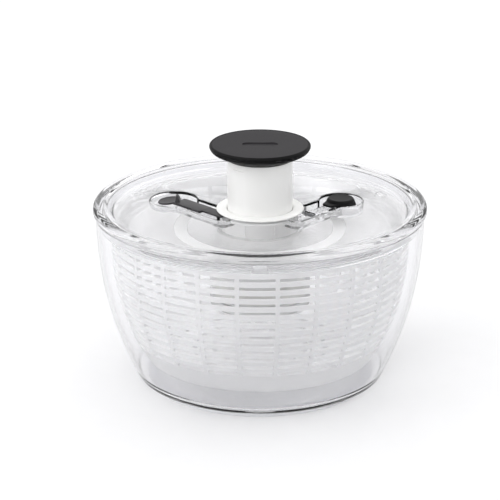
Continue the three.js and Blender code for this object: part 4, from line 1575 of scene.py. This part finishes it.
@dataclass
class Turner:
    """The clear disc and hub that turn the basket, with the brake track, pawls and cap."""

    pawls: int = 3
    lug_inner: float = 114.7
    lug_outer: float = 119.3
    lug_half: float = 5.5  # half a lug's width
    lug_drop: float = 3.4  # how far a lug hangs below the flange

    def disc(self) -> bpy.types.Object:
        """Builds the disc: a shallow rim over the basket, a flat web, and the hub's tube below."""
        low, high = box_mm("turner_disc")
        rim = high[0]
        flange = high[2] - 1.8
        hub = box_mm("hub_cap")[1][0]
        web = 124.5
        body = revolved(
            rounded(
                [
                    (33.2, web, 0.4),
                    (33.2, 118.0, 0.5),
                    (hub - 2, 109.0, 3.0),
                    (hub - 2, 73.0, 0.2),
                    (hub - 4.4, 72.6, 0.3),
                    (hub - 4.4, 70.9, 0.3),
                    (hub - 2, 70.5, 0.2),
                    (hub - 2, low[2], 0.4),
                    (hub, low[2], 0.5),
                    (hub, 108.5, 3.0),
                    (35.4, 117.5, 1.5),
                    (35.4, web - 2.0, 1.5),
                    (107.0, web - 2.0, 3.0),
                    (114.5, flange, 1.5),
                    (rim, flange, 0.4),
                    (rim, high[2], 0.7),
                    (113.4, high[2], 2.0),
                    (105.8, web, 3.0),
                    (70.8, web, 0.2),
                    (70.8, web - 0.6, 0.2),
                    (60.2, web - 0.6, 0.2),
                    (60.2, web, 0.2),
                ],
                steps=5,
            ),
            192,
        )
        half, foot = self.lug_half, flange - self.lug_drop
        lug = slab(self.lug_inner, self.lug_outer, -half, half, foot, flange + 1.0, 0.5)
        return shaped("clear_turner", body, [lug.posed(turn=30 + 120 * i) for i in range(3)])

    def pawl(self) -> Surface:
        """Builds a pawl: a round eye and an arm that ends in a tooth."""
        low, high = box_mm("pawl_1")
        outline = rounded(
            [
                (29.0, -4.0, 1.0),
                (32.4, 0.0, 2.4),
                (31.6, 2.8, 1.6),
                (29.0, 3.6, 1.6),
                (26.0, 2.2, 1.4),
                (23.4, -1.0, 0.8),
                (22.0, -10.0, 0.3),
                (24.6, -10.6, 0.6),
                (28.0, -7.5, 1.0),
            ],
            steps=4,
        )
        return eased_block(outline, low[2], high[2], 0.3)

    def build(self, dresser: Dresser) -> None:
        """Builds the pieces that turn with the basket."""
        dress = dresser.dress
        dress(self.disc(), CLEAR_DISC, "turner", ["turner_disc"], "clear_plastic")
        low, high = box_mm("brake_track")
        track = revolved(
            rounded(
                [(60.5, low[2], 0.15), (70.5, low[2], 0.15), (70.5, high[2], 0.2), (60.5, high[2], 0.2)]
            ),
            192,
        )
        dress(raw_object("frosted_brake_track", track), FROSTED, "turner", ["brake_track"], "frosted_plastic")
        low, high = box_mm("pawl_plate")
        plate = revolved(
            rounded(
                [
                    (10.5, low[2], 0.3),
                    (high[0] - 0.1, low[2], 0.5),
                    (high[0] - 0.1, low[2] + 2.8, 0.5),
                    (10.5, low[2] + 2.8, 0.3),
                ]
            ),
            96,
        )
        post = eased_block(plain_outline(1.8, 24) + np.array([29.0, 0.0]), low[2] + 2.0, high[2], 0.3)
        posts = [post.posed(turn=120.0 * i) for i in range(self.pawls)]
        dress(shaped("pawl_carrier", plate, posts), ACETAL, "turner", ["pawl_plate"], "bearing_plastic")
        for i in range(self.pawls):
            eye = lofted([plain_outline(2.1, 24) + np.array([29.0, 0.0])] * 2, [70.0, 90.0])
            turn = 120.0 * i
            arm = shaped(f"clutch_pawl_{i + 1}", self.pawl().posed(turn=turn), cuts=[eye.posed(turn=turn)])
            dress(arm, ACETAL, "turner", [f"pawl_{i + 1}"], "bearing_plastic")
        low, high = box_mm("hub_cap")
        radius = high[0]
        cap = revolved(
            rounded(
                [
                    (0, low[2], 0),
                    (radius - 1.2, low[2], 2.0),
                    (radius, low[2] + 1.2, 1.2),
                    (radius, low[2] + 2.3, 0.3),
                    (radius - 2.3, low[2] + 2.3, 0.2),
                    (radius - 2.3, high[2], 0.4),
                    (radius - 4.3, high[2], 0.4),
                    (radius - 4.3, low[2] + 2.3, 0.5),
                    (0, low[2] + 2.3, 0),
                ],
                closed=False,
            ),
            128,
        )
        dress(raw_object("frosted_hub_cap", cap), FROSTED, "turner", ["hub_cap"], "frosted_plastic")


@dataclass
class Lock:
    """The dark grey slide in the left recess: a dished paddle, a thumb fin, an arm and a tongue."""

    arm_thick: float = 2.0
    arm_near: float = -8.0
    arm_far: float = 6.0
    arm_end: float = 35.6
    paddle: float = 9.3
    tilt: float = 8.0
    fin_height: float = 6.0

    def dish(self) -> Surface:
        """Builds the round paddle, hollowed on top for a finger."""
        r = self.paddle
        under = [(0, -0.8, 0), (r - 0.6, -0.8, 0.6), (r, 0.0, 0.5)]
        over = [(r - 0.5, 0.9, 0.4), (r - 2.4, 0.35, 1.5), (0, -0.15, 0)]
        return revolved(rounded(under + over, closed=False), 72)

    def fin(self) -> Surface:
        """Builds the fin: upright sections that narrow with height, hollowed on the finger's side.

        At a share s of the height a section reaches from -3.5 + 1.7 sqrt(s) to 2 - 2.6 s along the paddle
        and 7.3 - 4.7 s^1.5 to either side.
        """
        share = np.array([0.0, 0.1, 0.25, 0.45, 0.65, 0.82, 0.94, 1.0])
        ease = np.array([1.0, 1.0, 1.0, 1.0, 1.0, 0.97, 0.9, 0.7])
        sections = []
        for s, e in zip(share, ease):
            low, high = -3.5 + 1.7 * s**0.5, 2.0 - 2.6 * s
            middle, half = (low + high) / 2, (high - low) / 2 * e
            side = (7.3 - 4.7 * s**1.5) * e
            left, right = middle - half, middle + half
            corners = [(left, -side), (right, -side), (right, side), (left, side)]
            sections.append(rounded([(x, y, 0.5) for x, y in corners], steps=4))
        return lofted(sections, share * self.fin_height)

    def build(self, dresser: Dresser) -> None:
        """Builds the slide in one piece."""
        lock = LOCK_RECESS
        tray = tray_top()
        base = tray - self.arm_thick
        flat_line = 25.3
        nose_end = lock.reach - math.sqrt(26.6**2 - flat_line**2) - 0.2
        seat = (-4.6, -4.7, base + self.arm_thick / 2 - 0.4)
        dish = self.dish().posed(tilt=-self.tilt, turn=lock.angle, shift=seat)
        fin = self.fin().posed(shift=(self.paddle - 1.5, -2.0, 0.0)).posed(turn=lock.angle, shift=seat)
        arm = slab(3, self.arm_end, self.arm_near, self.arm_far, base, tray, 0.5)
        tongue = slab(self.arm_end - 1, nose_end, -5, lock.offset - flat_line, tray - 1.5, tray - 0.1, 0.25)
        thing = shaped("grey_lock_slide", arm.moved(lock), [p.moved(lock) for p in (tongue, dish, fin)])
        dresser.dress(thing, GREY_ABS, "lock", ["lock_slide"], "grey_plastic", crease=34.0)


@dataclass
class Brake:
    """The brake in the right recess: rubber button, clear lever, hinge pin, stem, pad and spring."""

    disc: float = 8.8
    half: float = 5.0
    stem_along: float = 8.0
    hinge_along: float = 38.6

    def across(self, radius: float, height: float, half: float, ease: float) -> Surface:
        """Builds a round bar along the hinge's line.

        Args:
            radius: the bar's radius.
            height: its middle's height.
            half: half its length.
            ease: the rounding of its ends.

        Returns:
            The closed surface, in the recess's axes.
        """
        turn = np.arange(32) * np.pi / 16
        sections = [
            np.stack([self.hinge_along + r * np.cos(turn), np.full(32, y), height + r * np.sin(turn)], axis=1)
            for y, r in (
                (half, radius - ease),
                (half - ease, radius),
                (ease - half, radius),
                (-half, radius - ease),
            )
        ]
        return skinned(np.stack(sections))

    def button(self) -> bpy.types.Object:
        """Builds the button: a dished dome over the lever's end, with a nose over its arm."""
        low, high = box_mm("brake_button")
        base, top = low[2], high[2]
        seat = base + 2.5
        middle = (BRAKE_RECESS.well_x, 0.0, 0.0)
        cap = revolved(
            rounded(
                [
                    (0, seat, 0),
                    (self.disc + 0.3, seat, 0.3),
                    (self.disc + 0.3, base, 0.3),
                    (12.5, base, 0.5),
                    (12.85, base + 1.0, 0.8),
                    (11.2, top - 1.6, 1.6),
                    (10.1, top, 1.3),
                    (7.6, top - 0.35, 1.5),
                    (0, top - 0.8, 0),
                ],
                closed=False,
                steps=7,
            ),
            120,
        )
        nose = eased_block(
            rounded([(6, -9, 1), (17, -5, 2.0), (17, 4, 2.0), (6, 9, 1)], steps=5), seat, seat + 1.8, 0.6
        )
        way = slab(0, 15, -self.half - 0.3, self.half + 0.3, base - 1, seat, 0.2)
        parts = [piece.posed(shift=middle).moved(BRAKE_RECESS) for piece in (cap, nose, way)]
        return shaped("brake_rubber_button", parts[0], [parts[1]], [parts[2]])

    def lever(self) -> bpy.types.Object:
        """Builds the lever: a disc under the button, an arm, and a knuckle bored for the pin."""
        low, high = box_mm("brake_lever")
        base, top = low[2], high[2]
        end = self.hinge_along
        disc = eased_block(plain_outline(self.disc, 48), base, top, 0.5)
        disc = disc.posed(shift=(BRAKE_RECESS.well_x, 0, 0))
        arm = slab(0, end - 1, -self.half, self.half, base, top, 0.5)
        knuckle = slab(end - 4, end + 2.4, -7, 7, base, top, 0.5)
        bore = self.across(1.5, base + 1.5, 12.0, 0.1)
        socket = lofted([plain_outline(3.3, 32) + np.array([self.stem_along, 0.0])] * 2, [base - 1, base + 1.5])
        parts = [piece.moved(BRAKE_RECESS) for piece in (disc, arm, knuckle, bore, socket)]
        return shaped("clear_brake_lever", parts[0], parts[1:3], parts[3:])

    def build(self, dresser: Dresser) -> None:
        """Builds the brake's pieces."""
        brake = BRAKE_RECESS
        dress = dresser.dress
        dress(self.button(), BUTTON_BLACK, "brake", ["brake_button"], "soft_black", crease=40.0)
        dress(self.lever(), CLEAR_LID, "brake", ["brake_lever"], "clear_plastic", crease=34.0)
        hinge = box_mm("brake_lever")[0][2] + 1.5
        pin = raw_object("brake_hinge_pin", self.across(1.2, hinge, 11.2, 0.35).moved(brake))
        dress(pin, STEEL, "lid", ["brake_pivot_pin"], "spring_steel")
        shift = np.array([self.stem_along, 0.0])
        low, high = box_mm("brake_stem")
        stem = eased_block(plain_outline(2.95, 40) + shift, low[2], high[2], 0.4)
        post = raw_object("brake_stem_post", stem.moved(brake))
        dress(post, FROSTED, "brake", ["brake_stem"], "frosted_plastic")
        low, high = box_mm("brake_pad")
        pad = eased_block(plain_outline(5.1, 48) + shift, low[2], high[2], 0.3)
        rubber = raw_object("brake_rubbing_pad", pad.moved(brake))
        dress(rubber, FROSTED, "brake", ["brake_pad"], "frosted_plastic")
        low, high = box_mm("brake_spring")
        wound = coil(4.8, 0.7, low[2], high[2], 4).posed(shift=(self.stem_along, 0.0, 0.0))
        spring = raw_object("brake_coil_spring", wound.moved(brake))
        dress(spring, STEEL, "lid", ["brake_spring"], "spring_steel", crease=60.0)
        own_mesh(spring)


# ---------------------------------------------------------------- studio


@dataclass
class Studio:
    """A plain pale floor, a soft sky and two soft lamps, and the camera."""

    distance: float = 1.8
    height: float = 0.74845
    tilt: float = 19.62
    lens: float = 168.9
    shift: float = -0.02
    bounces: int = 28  # clear walls inside clear walls need many

    def camera(self) -> None:
        """Places the camera in front of the knob's axis, looking down on the lid."""
        data = bpy.data.cameras.new("view")
        data.lens = self.lens
        data.sensor_width = 36.0
        data.shift_x = self.shift
        data.shift_y = 0.0016
        data.clip_end = 50.0
        thing = bpy.data.objects.new("view", data)
        thing.location = (0.0, -self.distance, self.height)
        thing.rotation_euler = (math.radians(90 - self.tilt), 0.0, 0.0)
        bpy.context.scene.collection.objects.link(thing)
        bpy.context.scene.camera = thing

    def floor(self) -> None:
        """Lays the floor, a broad plain square under the foot ring."""
        half = 12000.0
        corners = half * np.array([[-1, -1, 0], [1, -1, 0], [1, 1, 0], [-1, 1, 0]], dtype=float)
        thing = raw_object("floor", Surface(corners, np.array([[0, 1, 2, 3]]), []))
        material, tree, place = fresh("matt_white_card")
        speckle = add_node(tree, "ShaderNodeTexNoise", {"Scale": 40.0, "Detail": 2.0}, {"Vector": place})
        colour = add_node(
            tree,
            "ShaderNodeMix",
            {6: linear("#F4F4F5"), 7: linear("#F6F6F7")},
            {0: speckle.outputs["Fac"]},
            data_type="RGBA",
        )
        card = add_node(
            tree,
            "ShaderNodeBsdfPrincipled",
            {"Roughness": 0.9, "Specular IOR Level": 0.0},
            {"Base Color": colour.outputs[2]},
        )
        add_node(tree, "ShaderNodeOutputMaterial", links={"Surface": card.outputs[0]})
        thing.data.materials.append(material)

    def sky(self) -> None:
        """Fills the room with soft white light, greyer near the horizon."""
        world = bpy.data.worlds.new("soft_room")
        world.use_nodes = True
        tree = world.node_tree
        tree.nodes.clear()
        place = add_node(tree, "ShaderNodeTexCoord").outputs["Generated"]
        parts = add_node(tree, "ShaderNodeSeparateXYZ", links={0: place})
        ramp = add_node(tree, "ShaderNodeValToRGB", links={0: parts.outputs["Z"]})
        stops = ramp.color_ramp.elements
        stops[0].position, stops[0].color = 0.0, (0.84, 0.838, 0.845, 1)
        stops[1].position, stops[1].color = 0.4, (1.0, 1.0, 1.0, 1)
        glow = add_node(tree, "ShaderNodeBackground", {"Strength": 1.0}, {"Color": ramp.outputs[0]})
        add_node(tree, "ShaderNodeOutputWorld", links={"Surface": glow.outputs[0]})
        bpy.context.scene.world = world

    def lamp(self, name: str, place: Sequence[float], aim: Sequence[float], size: float, watts: float) -> None:
        """Hangs one square soft lamp.

        Args:
            name: the lamp's name.
            place: where it hangs, in metres.
            aim: what it points at.
            size: its side in metres.
            watts: its power.
        """
        data = bpy.data.lights.new(name, "AREA")
        data.size = size
        data.energy = watts
        thing = bpy.data.objects.new(name, data)
        thing.location = place
        away = np.array(place, dtype=float) - np.array(aim, dtype=float)
        flat = math.hypot(away[0], away[1])
        thing.rotation_euler = (math.atan2(flat, away[2]), 0.0, math.atan2(away[0], -away[1]))
        bpy.context.scene.collection.objects.link(thing)

    def build(self) -> None:
        """Sets up the camera, the floor, the sky and the lamps."""
        self.camera()
        self.floor()
        self.sky()
        self.lamp("key_left", (-1.3, -0.7, 1.5), (0, 0, 0.1), 0.9, 9.0)
        self.lamp("back_soft", (0.5, 1.5, 1.6), (0, 0, 0.1), 1.2, 5.0)
        scene = bpy.context.scene
        scene.view_settings.view_transform = "Standard"
        scene.cycles.max_bounces = self.bounces
        scene.cycles.transmission_bounces = self.bounces
        scene.cycles.transparent_max_bounces = self.bounces


def main() -> None:
    """Builds the studio and every piece in order."""
    logging.basicConfig(level=logging.INFO, format="%(message)s")
    Studio().build()
    dresser = Dresser({})
    for assembly in (Bowl(), Basket(), Lid(), PumpHousing(), Plunger(), Drive(), Turner(), Lock(), Brake()):
        LOG.info("building %s", type(assembly).__name__)
        assembly.build(dresser)
    bpy.context.view_layer.update()


if __name__ == "__main__":
    main()
